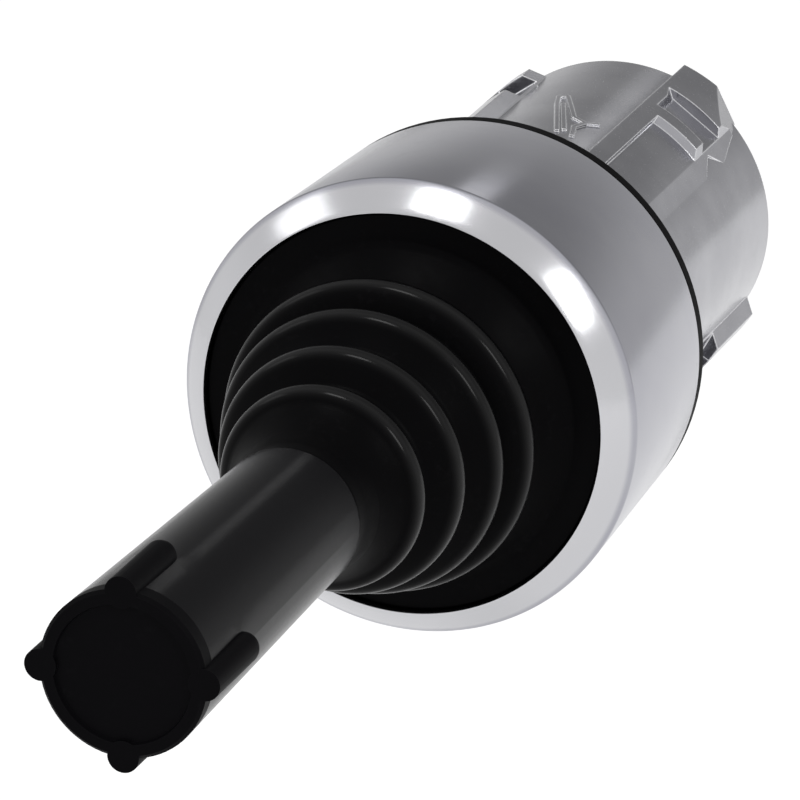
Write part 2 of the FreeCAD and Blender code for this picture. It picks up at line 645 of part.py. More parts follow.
def actuating_spider():
    """Cross with four domed arms that push the plunger heads."""
    spider = rod(SPIDER_BOSS_R, PIVOT_Y + HUB_HALF_WIDTH, SPIDER_REAR_Y)
    tip_centre = vector(0, SPIDER_FRONT_Y, PLUNGER_CENTRE_R)
    arm = Part.makeBox(2 * ARM_HALF_WIDTH, SPIDER_THICKNESS, PLUNGER_CENTRE_R,
                       vector(-ARM_HALF_WIDTH, SPIDER_FRONT_Y, 0))
    tip = Part.makeCylinder(ARM_HALF_WIDTH, SPIDER_THICKNESS, tip_centre, AXIS)
    dome = Part.makeSphere(DOME_R, vector(0, DOME_CENTRE_Y, PLUNGER_CENTRE_R))
    dome = dome.cut(rod(CUTTER_R, DOME_CENTRE_Y - DOME_R - 1, DOME_CENTRE_Y))
    for angle in QUARTERS.values():
        spider = spider.fuse(around(arm.fuse(tip).fuse(dome), angle))
    return spider.cut(rod(ROD_TAIL_R, PIVOT_Y, SPIDER_REAR_Y + 1)).removeSplitter()


def spider_clip():
    """E shaped clip in the groove of the rod, behind the spider."""
    clip = tube(CLIP_R, CLIP_GROOVE_R, SPIDER_REAR_Y, CLIP_GROOVE_REAR_Y)
    mouth = Part.makeBox(CLIP_MOUTH, CLIP_THICKNESS, CLIP_R,
                         vector(-CLIP_MOUTH / 2, SPIDER_REAR_Y, -CLIP_R))
    return clip.cut(mouth)


def plunger():
    """Spring loaded plunger on top of the centre line: flat head, long stem, chamfered end."""
    shape = turned([
        (0, PLUNGER_HEAD_FRONT_Y),
        (PLUNGER_HEAD_R, PLUNGER_HEAD_FRONT_Y),
        (PLUNGER_HEAD_R, PLUNGER_HEAD_REAR_Y),
        (PLUNGER_STEM_R, PLUNGER_HEAD_REAR_Y),
        (PLUNGER_STEM_R, PLUNGER_REAR_Y - EDGE),
        (PLUNGER_STEM_R - EDGE, PLUNGER_REAR_Y),
        (0, PLUNGER_REAR_Y),
    ])
    shape.translate(vector(0, 0, PLUNGER_CENTRE_R))
    return shape


def plunger_spring():
    """Coil spring round the stem, from the plunger head to the front of the carrier."""
    height = LAND_REAR_Y - PLUNGER_HEAD_REAR_Y - 2 * SPRING_WIRE_R
    path = Part.makeHelix(height / SPRING_TURNS, height, SPRING_MEAN_R)
    corners = []
    for side in range(SPRING_WIRE_SIDES):
        turn = 2 * math.pi * side / SPRING_WIRE_SIDES
        corners.append(vector(SPRING_MEAN_R + SPRING_WIRE_R * math.cos(turn), 0, SPRING_WIRE_R * math.sin(turn)))
    section = Part.makePolygon(corners + corners[:1])
    coil = Part.Wire(path).makePipeShell([section], True, True)
    coil.rotate(ORIGIN, vector(1, 0, 0), -90)
    coil.translate(vector(0, PLUNGER_HEAD_REAR_Y + SPRING_WIRE_R, PLUNGER_CENTRE_R))
    return coil


def plunger_carrier():
    """Moulded insert: two guide plates on a webbed core, with a running bore for each plunger."""
    front_plate = rod(CARRIER_R, LAND_REAR_Y, LAND_REAR_Y + CARRIER_PLATE_THICKNESS)
    rear_plate = rod(CARRIER_R, CARRIER_REAR_Y - CARRIER_PLATE_THICKNESS, CARRIER_REAR_Y)
    carrier = rod(CARRIER_CORE_R, LAND_REAR_Y, CARRIER_REAR_Y).fuse(front_plate).fuse(rear_plate)
    web = Part.makeBox(2 * CARRIER_WEB_HALF_WIDTH, CARRIER_REAR_Y - LAND_REAR_Y, CARRIER_R - EDGE,
                       vector(-CARRIER_WEB_HALF_WIDTH, LAND_REAR_Y, 0))
    for angle in QUARTERS.values():
        carrier = carrier.fuse(around(web, angle + 45))
    guide = Part.makeCylinder(PLUNGER_STEM_R + RUNNING_CLEARANCE, CARRIER_REAR_Y,
                              vector(0, LAND_REAR_Y - 1, PLUNGER_CENTRE_R), AXIS)
    for angle in QUARTERS.values():
        carrier = carrier.cut(around(guide, angle))
    carrier = carrier.cut(rod(CARRIER_WELL_R, CARRIER_REAR_Y - CARRIER_WELL_DEPTH, CARRIER_REAR_Y + 1))
    return carrier.removeSplitter()


def carrier_retaining_ring():
    """Internal snap ring with two plier ears that holds the carrier in the barrel."""
    rear_y = CARRIER_REAR_Y + RETAINER_THICKNESS
    ring = tube(RETAINER_R, RETAINER_BORE_R, CARRIER_REAR_Y, rear_y)
    mouth_start = RETAINER_MOUTH_ANGLE - RETAINER_MOUTH / 2
    mouth_end = RETAINER_MOUTH_ANGLE + RETAINER_MOUTH / 2
    mouth = section_prism([(0, 0), (CUTTER_R, mouth_start), (CUTTER_R, mouth_end)], CARRIER_REAR_Y, rear_y)
    ring = ring.cut(mouth)
    for ear_angle in (mouth_start - EAR_ANGLE, mouth_end + EAR_ANGLE):
        centre = on_circle(EAR_CENTRE_R, ear_angle, CARRIER_REAR_Y)
        ear = Part.makeCylinder(EAR_R, RETAINER_THICKNESS, centre, AXIS)
        hole = Part.makeCylinder(EAR_HOLE_R, RETAINER_THICKNESS, centre, AXIS)
        ring = ring.fuse(ear).cut(hole)
    return ring.removeSplitter()


def nodes():
    """Every named piece of the joystick with its shape."""
    pieces = {
        "barrel_housing": barrel_housing(),
        "panel_gasket": panel_gasket(),
        "front_bezel": front_bezel(),
        "bellows": bellows(),
        "bellows_clamp_ring": bellows_clamp_ring(),
        "gimbal_bushes": gimbal_bushes(),
        "gimbal_ring": gimbal_ring(),
        "gimbal_trunnions": gimbal_trunnions(),
        "hub_pins": hub_pins(),
        "lever_hub": lever_hub(),
        "lever_rod": lever_rod(),
        "grip_handle": grip_handle(),
        "grip_end_cap": grip_end_cap(),
        "actuating_spider": actuating_spider(),
        "spider_clip": spider_clip(),
        "plunger_carrier": plunger_carrier(),
        "carrier_retaining_ring": carrier_retaining_ring(),
    }
    top_plunger = plunger()
    top_spring = plunger_spring()
    for side, angle in QUARTERS.items():
        pieces["plunger_" + side] = around(top_plunger, angle)
        pieces["plunger_spring_" + side] = around(top_spring, angle)
    return pieces


os.makedirs("parts", exist_ok=True)
for name, shape in nodes().items():
    shape.exportStep("parts/" + name + ".step")
    print(name, "valid" if shape.isValid() else "INVALID", round(shape.Volume, 1), len(shape.Solids))
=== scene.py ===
"""Looks of a panel joystick: lever with rubber boot, metal bezel and die cast barrel.

Lengths in the classes are millimetres, which MM turns into Blender's metres, and angles are degrees.
The centre line is the Y axis, the lever points towards -Y and the panel seat is at Y = 0.
"""

import json
import logging
import math
from dataclasses import dataclass
from enum import Enum

import bmesh
import bpy
from mathutils import Matrix, Vector


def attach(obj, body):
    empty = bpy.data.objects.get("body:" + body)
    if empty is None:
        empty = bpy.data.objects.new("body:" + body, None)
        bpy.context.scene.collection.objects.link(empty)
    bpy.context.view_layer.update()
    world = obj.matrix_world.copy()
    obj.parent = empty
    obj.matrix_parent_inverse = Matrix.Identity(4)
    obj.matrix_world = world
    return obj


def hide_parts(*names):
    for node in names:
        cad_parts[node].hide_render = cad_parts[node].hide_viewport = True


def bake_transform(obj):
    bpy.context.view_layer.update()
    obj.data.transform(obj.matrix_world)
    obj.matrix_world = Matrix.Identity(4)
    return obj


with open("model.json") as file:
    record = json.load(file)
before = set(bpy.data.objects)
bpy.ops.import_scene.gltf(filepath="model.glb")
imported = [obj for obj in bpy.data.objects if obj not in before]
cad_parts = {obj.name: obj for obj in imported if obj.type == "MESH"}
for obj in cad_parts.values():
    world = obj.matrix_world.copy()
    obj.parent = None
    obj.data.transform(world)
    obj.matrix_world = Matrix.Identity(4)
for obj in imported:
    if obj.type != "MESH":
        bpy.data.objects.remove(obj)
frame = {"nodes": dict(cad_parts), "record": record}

LOG = logging.getLogger("joystick")
MM = 0.001
MERGE = 0.002 * MM
AXIS = Vector((0.0, 1.0, 0.0))
ORIGIN = Vector((0.0, 0.0, 0.0))
WHITE = (1.0, 1.0, 1.0, 1.0)
FINE_STEPS = 240
BEVEL_SAMPLES = 6
CREST = "crest"
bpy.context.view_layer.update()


class Body(Enum):
    """Rigid bodies of the mechanism, by their names in the record."""

    HOUSING = "housing"
    GIMBAL = "gimbal"
    LEVER = "lever"
    PLUNGER_TOP = "plunger_top"
    PLUNGER_RIGHT = "plunger_right"
    PLUNGER_BOTTOM = "plunger_bottom"
    PLUNGER_LEFT = "plunger_left"


class Value:
    """A shader value: a socket or a number that takes Python arithmetic."""

    def __init__(self, graph: "ShaderGraph", source: object) -> None:
        """Keeps the graph that new Math nodes go to and the socket or number."""
        self.graph = graph
        self.source = source

    def math(self, operation: str, *others: object) -> "Value":
        """Adds one Math node, from its operation and further operands."""
        return self.graph.value("ShaderNodeMath", {"operation": operation}, dict(enumerate((self,) + others)))

    def __add__(self, other: object) -> "Value":
        """Sum."""
        return self.math("ADD", other)

    __radd__ = __add__

    def __sub__(self, other: object) -> "Value":
        """Difference."""
        return self.math("SUBTRACT", other)

    def __rsub__(self, other: object) -> "Value":
        """Difference with a number on the left."""
        return Value(self.graph, other).math("SUBTRACT", self)

    def __mul__(self, other: object) -> "Value":
        """Product."""
        return self.math("MULTIPLY", other)

    __rmul__ = __mul__

    def between(self, low: float, high: float) -> "Value":
        """Rises from 0 at low to 1 at high, smoothly, and stays there.

        Args:
            low: value where the rise starts.
            high: value where the rise ends.

        Returns:
            The risen value.
        """
        settings = {"interpolation_type": "SMOOTHSTEP"}
        inputs = {"Value": self, "From Min": low, "From Max": high, "To Min": 0.0, "To Max": 1.0}
        return self.graph.value("ShaderNodeMapRange", settings, inputs)


class ShaderGraph:
    """Node tree of one material or of the world."""

    def __init__(self, owner: bpy.types.ID) -> None:
        """Starts an empty tree with its output node.

        Args:
            owner: material or world.
        """
        owner.use_nodes = True
        self.tree = owner.node_tree
        self.tree.nodes.clear()
        kind = "ShaderNodeOutputWorld" if isinstance(owner, bpy.types.World) else "ShaderNodeOutputMaterial"
        self.output = self.tree.nodes.new(kind)

    def node(self, kind: str, settings: dict | None = None, inputs: dict | None = None) -> bpy.types.Node:
        """Adds any node.

        Args:
            kind: node type.
            settings: properties, set before the inputs.
            inputs: values, sockets or Value objects by input name or number.

        Returns:
            The new node.
        """
        node = self.tree.nodes.new(kind)
        for key, setting in (settings or {}).items():
            setattr(node, key, setting)
        for key, source in (inputs or {}).items():
            if isinstance(source, Value):
                source = source.source
            if isinstance(source, bpy.types.NodeSocket):
                self.tree.links.new(source, node.inputs[key])
            else:
                node.inputs[key].default_value = source
        return node

    def value(self, kind: str, settings: dict | None = None, inputs: dict | None = None,
              output: int | str = 0) -> Value:
        """Adds a node and wraps one of its outputs."""
        return Value(self, self.node(kind, settings, inputs).outputs[output])

    def blend_colour(self, share: object, first: object, second: object) -> Value:
        """Mixes two colours or sockets, by how much of the second shows."""
        settings = {"data_type": "RGBA", "blend_type": "MIX"}
        return self.value("ShaderNodeMix", settings, {0: share, 6: first, 7: second}, 2)

    def position(self) -> Value:
        """Object coordinates in millimetres."""
        place = self.value("ShaderNodeTexCoord", output="Object")
        return self.value("ShaderNodeMapping", None, {"Vector": place, "Scale": (1.0 / MM,) * 3})

    def parts(self, where: Value) -> tuple[Value, ...]:
        """X, Y and Z of a vector."""
        split = self.node("ShaderNodeSeparateXYZ", None, {0: where})
        return tuple(Value(self, part) for part in split.outputs)

    def lathe_place(self, where: Value) -> Value:
        """Place on a turned piece as (radius, length), without the angle, for turning marks.

        Args:
            where: position in millimetres.

        Returns:
            The place as a vector.
        """
        across, along, up = self.parts(where)
        radius = (across * across + up * up).math("SQRT")
        return self.value("ShaderNodeCombineXYZ", None, {0: radius, 1: along})

    def rounded(self, radius_mm: float) -> Value:
        """Normal that looks rounded over the edges."""
        return self.value("ShaderNodeBevel", {"samples": BEVEL_SAMPLES}, {"Radius": radius_mm * MM})

    def edge_mask(self, radius_mm: float, gain: float) -> Value:
        """Near 1 along outer and inner edges of the surface.

        Args:
            radius_mm: width of the band along an edge.
            gain: how sharply the mask rises.

        Returns:
            The mask.
        """
        flat = self.value("ShaderNodeNewGeometry", output="Normal")
        inputs = {0: self.rounded(radius_mm), 1: flat}
        facing = self.value("ShaderNodeVectorMath", {"operation": "DOT_PRODUCT"}, inputs, "Value")
        return ((1.0 - facing) * gain).math("MINIMUM", 1.0)

    def relief(self, height: Value, depth_mm: float, strength: float, normal: Value | None = None) -> Value:
        """Bump from a height.

        Args:
            height: value between 0 and 1.
            depth_mm: height that 1 stands for.
            strength: share of the bump that shows.
            normal: normal that the bump starts from.

        Returns:
            The bumped normal.
        """
        inputs = {"Height": height, "Distance": depth_mm * MM, "Strength": strength}
        if normal:
            inputs["Normal"] = normal
        return self.value("ShaderNodeBump", None, inputs)

    def end(self, shader: bpy.types.Node) -> None:
        """Ends the graph in a shader node."""
        self.tree.links.new(shader.outputs[0], self.output.inputs["Surface"])


def colour(red: float, green: float, blue: float) -> tuple[float, float, float, float]:
    """Opaque linear colour."""
    return (red, green, blue, 1.0)


@dataclass(frozen=True)
class Pattern:
    """Fractal noise: scale per millimetre, detail, roughness, and the levels between which it rises to 1."""

    scale: float
    detail: float = 3.0
    roughness: float = 0.55
    levels: tuple | None = None

    def draw(self, graph: ShaderGraph, place: Value) -> Value:
        """Adds the noise at a place in millimetres.

        Args:
            graph: tree that the nodes go to.
            place: position in millimetres.

        Returns:
            The noise.
        """
        inputs = {"Vector": place, "Scale": self.scale, "Detail": self.detail, "Roughness": self.roughness}
        noise = graph.value("ShaderNodeTexNoise", None, inputs)
        return noise.between(*self.levels) if self.levels else noise


class Finish:
    """Finish of a surface, whose name is its slot in the record."""

    name: str

    def inputs(self, graph: ShaderGraph, place: Value) -> dict:
        """Inputs of the Principled surface, from patterns at a place in millimetres."""
        raise NotImplementedError

    def material(self) -> bpy.types.Material:
        """Builds the material.

        Returns:
            The material.
        """
        made = bpy.data.materials.new(self.name)
        graph = ShaderGraph(made)
        shader = graph.node("ShaderNodeBsdfPrincipled", None, self.inputs(graph, graph.position()))
        graph.end(shader)
        return made


@dataclass(frozen=True)
class CastMetal(Finish):
    """Die cast zinc: fine cast skin, soft mottling, and edges painted light, partly rubbed wear and partly
    painted highlight.
    """

    name: str = "die_cast_zinc"
    tone: tuple = colour(0.42, 0.42, 0.445)
    shade: tuple = colour(0.36, 0.36, 0.385)
    # Light edge colour: partly rubbed wear, partly a painted highlight, in inner corners too.
    wear_and_highlight: tuple = colour(0.86, 0.86, 0.88)
    roughness: float = 0.15
    edge_mm: float = 0.14
    edge_gain: float = 8.0
    clouds: Pattern = Pattern(0.22, levels=(0.32, 0.70))
    skin: Pattern = Pattern(3.4, 4.0, 0.6)
    pores: Pattern = Pattern(9.0, 2.0, 0.5, (0.66, 0.76))
    wear: Pattern = Pattern(1.1, 2.0, levels=(0.15, 0.42))
    pore_shade: float = 0.35
    wear_and_highlight_share: float = 0.90
    skin_roughness: float = 0.10
    pore_roughness: float = 0.12
    wear_polish: float = 0.08
    relief_mm: float = 0.02
    skin_relief: float = 0.12
    pore_relief: float = 0.25

    def inputs(self, graph: ShaderGraph, place: Value) -> dict:
        """Inputs of the surface.

        Args:
            graph: tree that the nodes go to.
            place: position in millimetres.

        Returns:
            The inputs by name.
        """
        skin = self.skin.draw(graph, place)
        pores = self.pores.draw(graph, place)
        # edges: patchy mask along outer and inner edges that carries rubbed wear and a painted highlight.
        edges = graph.edge_mask(self.edge_mm, self.edge_gain) * self.wear.draw(graph, place)
        tone = graph.blend_colour(self.clouds.draw(graph, place), self.shade, self.tone)
        tone = graph.blend_colour(pores * self.pore_shade, tone, self.shade)
        # Lightens the edges: rubbed wear and painted highlight.
        tone = graph.blend_colour(edges * self.wear_and_highlight_share, tone, self.wear_and_highlight)
        rough = self.roughness + skin * self.skin_roughness + pores * self.pore_roughness
        rough = rough - edges * self.wear_polish
        fine = graph.relief(skin, self.relief_mm, self.skin_relief, graph.rounded(self.edge_mm))
        normal = graph.relief(1.0 - pores, self.relief_mm, self.pore_relief, fine)
        return {"Base Color": tone, "Metallic": 1.0, "Roughness": rough, "Normal": normal}


@dataclass(frozen=True)
class TurnedMetal(Finish):
    """Plated metal with faint turning marks round the centre line."""

    name: str
    tone: tuple
    shade: tuple
    roughness: float
    marks: Pattern = Pattern(9.0, 2.0)
    haze: Pattern = Pattern(0.16, levels=(0.30, 0.70))
    specks: Pattern = Pattern(7.0, 2.0, levels=(0.70, 0.78))
    speck_shade: float = 0.25
    mark_roughness: float = 0.06
    haze_roughness: float = 0.05
    speck_roughness: float = 0.10
    mark_mm: float = 0.01
    mark_relief: float = 0.10

    def inputs(self, graph: ShaderGraph, place: Value) -> dict:
        """Inputs of the surface.

        Args:
            graph: tree that the nodes go to.
            place: position in millimetres.

        Returns:
            The inputs by name.
        """
        marks = self.marks.draw(graph, graph.lathe_place(place))
        haze = self.haze.draw(graph, place)
        specks = self.specks.draw(graph, place)
        tone = graph.blend_colour(haze, self.shade, self.tone)
        tone = graph.blend_colour(specks * self.speck_shade, tone, self.shade)
        rough = self.roughness + marks * self.mark_roughness + haze * self.haze_roughness
        rough = rough + specks * self.speck_roughness
        normal = graph.relief(marks, self.mark_mm, self.mark_relief)
        return {"Base Color": tone, "Metallic": 1.0, "Roughness": rough, "Normal": normal}


@dataclass(frozen=True)
class BezelChrome(Finish):
    """Satin plated skirt and a smoother bevel at the front, in one plating: the skirt colour is painted shade
    and the bevel's lighter colour a painted reflection.
    """

    name: str = "bright_chrome"
    # Painted shade and painted reflection: skirt and skirt_shade are painted darker and bevel painted
    # lighter, for one plating.
    skirt: tuple = colour(0.39, 0.39, 0.425)
    skirt_shade: tuple = colour(0.36, 0.36, 0.40)
    bevel: tuple = colour(0.53, 0.53, 0.55)
    bevel_from_mm: float = -15.60
    bevel_to_mm: float = -15.95
    skirt_roughness: float = 0.18
    bevel_roughness: float = 0.15
    marks: Pattern = Pattern(11.0, 2.0)
    haze: Pattern = Pattern(0.14, levels=(0.30, 0.70))
    prints: Pattern = Pattern(0.9, 4.0, 0.65, (0.58, 0.74))
    mark_roughness: float = 0.05
    print_roughness: float = 0.04
    mark_mm: float = 0.008
    mark_relief: float = 0.08

    def inputs(self, graph: ShaderGraph, place: Value) -> dict:
        """Inputs of the surface.

        Args:
            graph: tree that the nodes go to.
            place: position in millimetres.

        Returns:
            The inputs by name.
        """
        # front: share of the bevel's painted lighter colour and of its smoother roughness.
        front = 1.0 - graph.parts(place)[1].between(self.bevel_to_mm, self.bevel_from_mm)
        marks = self.marks.draw(graph, graph.lathe_place(place))
        tone = graph.blend_colour(self.haze.draw(graph, place), self.skirt_shade, self.skirt)
        # The painted reflection of the bevel takes over from the painted shade of the skirt.
        tone = graph.blend_colour(front, tone, self.bevel)
        rough = self.skirt_roughness + front * (self.bevel_roughness - self.skirt_roughness)
        rough = rough + marks * self.mark_roughness + self.prints.draw(graph, place) * self.print_roughness
        normal = graph.relief(marks, self.mark_mm, self.mark_relief)
        return {"Base Color": tone, "Metallic": 1.0, "Roughness": rough, "Normal": normal}


@dataclass(frozen=True)
class Rubber(Finish):
    """Black rubber: dull skin, fine grain, a trace of dust, and a polished shine where "crest" is 1."""

    name: str
    tone: tuple = colour(0.0012, 0.0011, 0.0014)
    dust: tuple = colour(0.008, 0.0075, 0.0085)
    roughness: float = 0.34
    gloss: float = 0.03
    shine: float = 0.38
    shine_roughness: float = 0.15
    clouds: Pattern = Pattern(0.35, 4.0, 0.6, (0.40, 0.75))
    grain: Pattern = Pattern(14.0)
    bloom: Pattern = Pattern(2.2, 4.0, 0.65, (0.50, 0.80))
    dust_share: float = 0.55
    cloud_roughness: float = 0.10
    grain_roughness: float = 0.08
    grain_mm: float = 0.012
    grain_relief: float = 0.30

    def inputs(self, graph: ShaderGraph, place: Value) -> dict:
        """Inputs of the surface.

        Args:
            graph: tree that the nodes go to.
            place: position in millimetres.

        Returns:
            The inputs by name.
        """
        clouds = self.clouds.draw(graph, place)
        grain = self.grain.draw(graph, place)
        dusty = clouds * self.bloom.draw(graph, place) * self.dust_share
        crest = graph.value("ShaderNodeAttribute", {"attribute_name": CREST}, output="Fac")
        return {
            "Base Color": graph.blend_colour(dusty, self.tone, self.dust),
            "Roughness": self.roughness + clouds * self.cloud_roughness + grain * self.grain_roughness,
            "Specular IOR Level": self.gloss,
            "Normal": graph.relief(grain, self.grain_mm, self.grain_relief),
            "Coat Weight": crest * crest * self.shine,
            "Coat Roughness": self.shine_roughness,
        }


@dataclass(frozen=True)
class MouldedPlastic(Finish):
    """Moulded thermoplastic: fine spark eroded grain, slight wear on handled places."""

    name: str
    tone: tuple
    worn: tuple
    roughness: float
    gloss: float
    clouds: Pattern = Pattern(0.18, levels=(0.35, 0.72))
    grain: Pattern = Pattern(8.0)
    rubs: Pattern = Pattern(1.3, 5.0, 0.7, (0.55, 0.80))
    edge_mm: float = 0.10
    edge_gain: float = 4.0
    rub_share: float = 0.5
    edge_share: float = 0.35
    grain_roughness: float = 0.10
    rub_polish: float = 0.06
    grain_mm: float = 0.012
    grain_relief: float = 0.30

    def inputs(self, graph: ShaderGraph, place: Value) -> dict:
        """Inputs of the surface.

        Args:
            graph: tree that the nodes go to.
            place: position in millimetres.

        Returns:
            The inputs by name.
        """
        grain = self.grain.draw(graph, place)
        rubs = self.rubs.draw(graph, place)
        edges = graph.edge_mask(self.edge_mm, self.edge_gain)
        worn = self.clouds.draw(graph, place) * rubs * self.rub_share + edges * self.edge_share
        return {
            "Base Color": graph.blend_colour(worn, self.tone, self.worn),
            "Roughness": self.roughness + grain * self.grain_roughness - rubs * self.rub_polish,
            "Specular IOR Level": self.gloss,
            "Normal": graph.relief(grain, self.grain_mm, self.grain_relief),
        }


def finishes() -> dict[str, bpy.types.Material]:
    """Every finish by the record's slot name.

    Returns:
        The materials.
    """
    makers = [
        CastMetal(),
        BezelChrome(),
        Rubber("seal_rubber", roughness=0.50, gloss=0.05),
        Rubber("boot_rubber"),
        TurnedMetal("steel", colour(0.56, 0.55, 0.54), colour(0.46, 0.45, 0.44), 0.24),
        TurnedMetal("spring_steel", colour(0.42, 0.41, 0.40), colour(0.33, 0.32, 0.31), 0.30),
        MouldedPlastic("grip_plastic", colour(0.0030, 0.0028, 0.0036), colour(0.009, 0.009, 0.0095),
                       0.16, 0.055),
        MouldedPlastic("cap_plastic", colour(0.0022, 0.0020, 0.0026), colour(0.008, 0.008, 0.009),
                       0.46, 0.03),
        MouldedPlastic("insert_plastic", colour(0.030, 0.030, 0.032), colour(0.06, 0.06, 0.062), 0.48, 0.35),
        MouldedPlastic("plunger_plastic", colour(0.62, 0.61, 0.57), colour(0.70, 0.69, 0.66), 0.40, 0.45),
        MouldedPlastic("bearing_plastic", colour(0.50, 0.48, 0.42), colour(0.58, 0.56, 0.50), 0.42, 0.45),
    ]
    return {maker.name: maker.material() for maker in makers}


def mesh_from(name: str, bm: bmesh.types.BMesh) -> bpy.types.Mesh:
    """Turns a bmesh into mesh data and frees it.

    Args:
        name: name of the data.
        bm: mesh in metres.

    Returns:
        The mesh data.
    """
    mesh = bpy.data.meshes.new(name)
    bm.to_mesh(mesh)
    bm.free()
    return mesh


def scene_object(name: str, data: bpy.types.ID) -> bpy.types.Object:
    """Puts new data into the scene as an object.

    Args:
        name: name of the object.
        data: mesh, light or camera.

    Returns:
        The object.
    """
    made = bpy.data.objects.new(name, data)
    bpy.context.scene.collection.objects.link(made)
    return made


class Piece:
    """A mesh that a size class builds and dresses, which on() sets on a body."""

    def __init__(self, name: str, bm: bmesh.types.BMesh, smooth_degrees: float = 32.0) -> None:
        """Makes the object.

        Args:
            name: plain name of the piece.
            bm: finished mesh in metres, which is freed.
            smooth_degrees: edges flatter than this are shaded smooth.
        """
        mesh = mesh_from(name, bm)
        mesh.shade_smooth()
        mesh.set_sharp_from_angle(angle=math.radians(smooth_degrees))
        self.object = scene_object(name, mesh)

    def finish(self, material: bpy.types.Material) -> "Piece":
        """Gives the piece its material and its slot of the record.

        Args:
            material: finish.

        Returns:
            The piece.
        """
        self.object.data.materials.append(material)
        return self

    def on(self, body: Body) -> "Piece":
        """Lets the piece ride on a body.

        Args:
            body: body that it follows.

        Returns:
            The piece.
        """
        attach(self.object, body.value)
        self._report(body.value)
        return self

    def between(self, first: Body, second: Body, start: Vector, end: Vector) -> "Piece":
        """Bakes the piece's placement into its mesh and logs it as lying between two bodies; nothing bends it
        or sets it on either body.

        Args:
            first: body on the side of start, named in the log.
            second: body on the side of end, named in the log.
            start: point in metres; not used.
            end: point in metres; not used.

        Returns:
            The piece.
        """
        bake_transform(self.object)
        self._report(f"{first.value} to {second.value}")
        return self

    def _report(self, place: str) -> None:
        """Logs the piece."""
        LOG.info("%s on %s: %d faces", self.object.name, place, len(self.object.data.polygons))


@dataclass(frozen=True)
class Corner:
    """Corner of a turned outline: radius, place along the axis and rounding."""

    radius: float
    along: float
    rounding: float = 0.0


def turned_mesh(corners: list[Corner], steps: int, segments: int = 5) -> bmesh.types.BMesh:
    """Spins a closed outline round the centre line.

    Args:
        corners: outline of the piece.
        steps: steps of the full turn.
        segments: edges in each rounded corner.

    Returns:
        The turned mesh, with its normals outwards.
    """
    bm = bmesh.new()
    points = [bm.verts.new((corner.radius * MM, corner.along * MM, 0.0)) for corner in corners]
    for start, end in zip(points, points[1:] + points[:1]):
        bm.edges.new((start, end))
    for rounding in sorted({corner.rounding for corner in corners if corner.rounding > 0.0}):
        rounded = [point for point, corner in zip(points, corners) if corner.rounding == rounding]
        bmesh.ops.bevel(bm, geom=rounded, offset=rounding * MM, offset_type="OFFSET", segments=segments,
                        profile=0.5, affect="VERTICES", material=-1)
    outline = list(bm.verts) + list(bm.edges)
    bmesh.ops.spin(bm, geom=outline, cent=ORIGIN, axis=AXIS, dvec=ORIGIN, angle=math.tau, steps=steps,
                   use_merge=True, use_duplicate=False)
    bmesh.ops.remove_doubles(bm, verts=bm.verts, dist=MERGE)
    bmesh.ops.recalc_face_normals(bm, faces=bm.faces)
    return bm


def swept_face(points: list[Vector], centre: Vector, rise: Vector, angle: float,
               steps: int) -> bmesh.types.BMesh:
    """Sweeps a flat face round a centre.

    Args:
        points: corners of the face in metres.
        centre: point in metres on the line to turn about, which runs along the axis.
        rise: shift in metres at each step.
        angle: angle of the whole sweep, in radians.
        steps: steps of the sweep.

    Returns:
        The closed mesh, with its normals outwards.
    """
    bm = bmesh.new()
    face = bm.faces.new([bm.verts.new(point) for point in points])
    bmesh.ops.spin(bm, geom=[face] + list(face.edges) + list(face.verts), cent=centre, axis=AXIS, dvec=rise,
                   angle=angle, steps=steps, use_duplicate=False)
    bmesh.ops.recalc_face_normals(bm, faces=bm.faces)
    return bm


def spot(radius: float, angle: float, along: float) -> Vector:
    """Point in metres from a radius, an angle from +Z towards +X and a place along the axis."""
    turn = math.radians(angle)
    return Vector((radius * math.sin(turn), along, radius * math.cos(turn))) * MM


def turned_to(angle: float) -> Matrix:
    """Rotation that brings +Z to an angle towards +X."""
    return Matrix.Rotation(math.radians(angle), 3, AXIS)


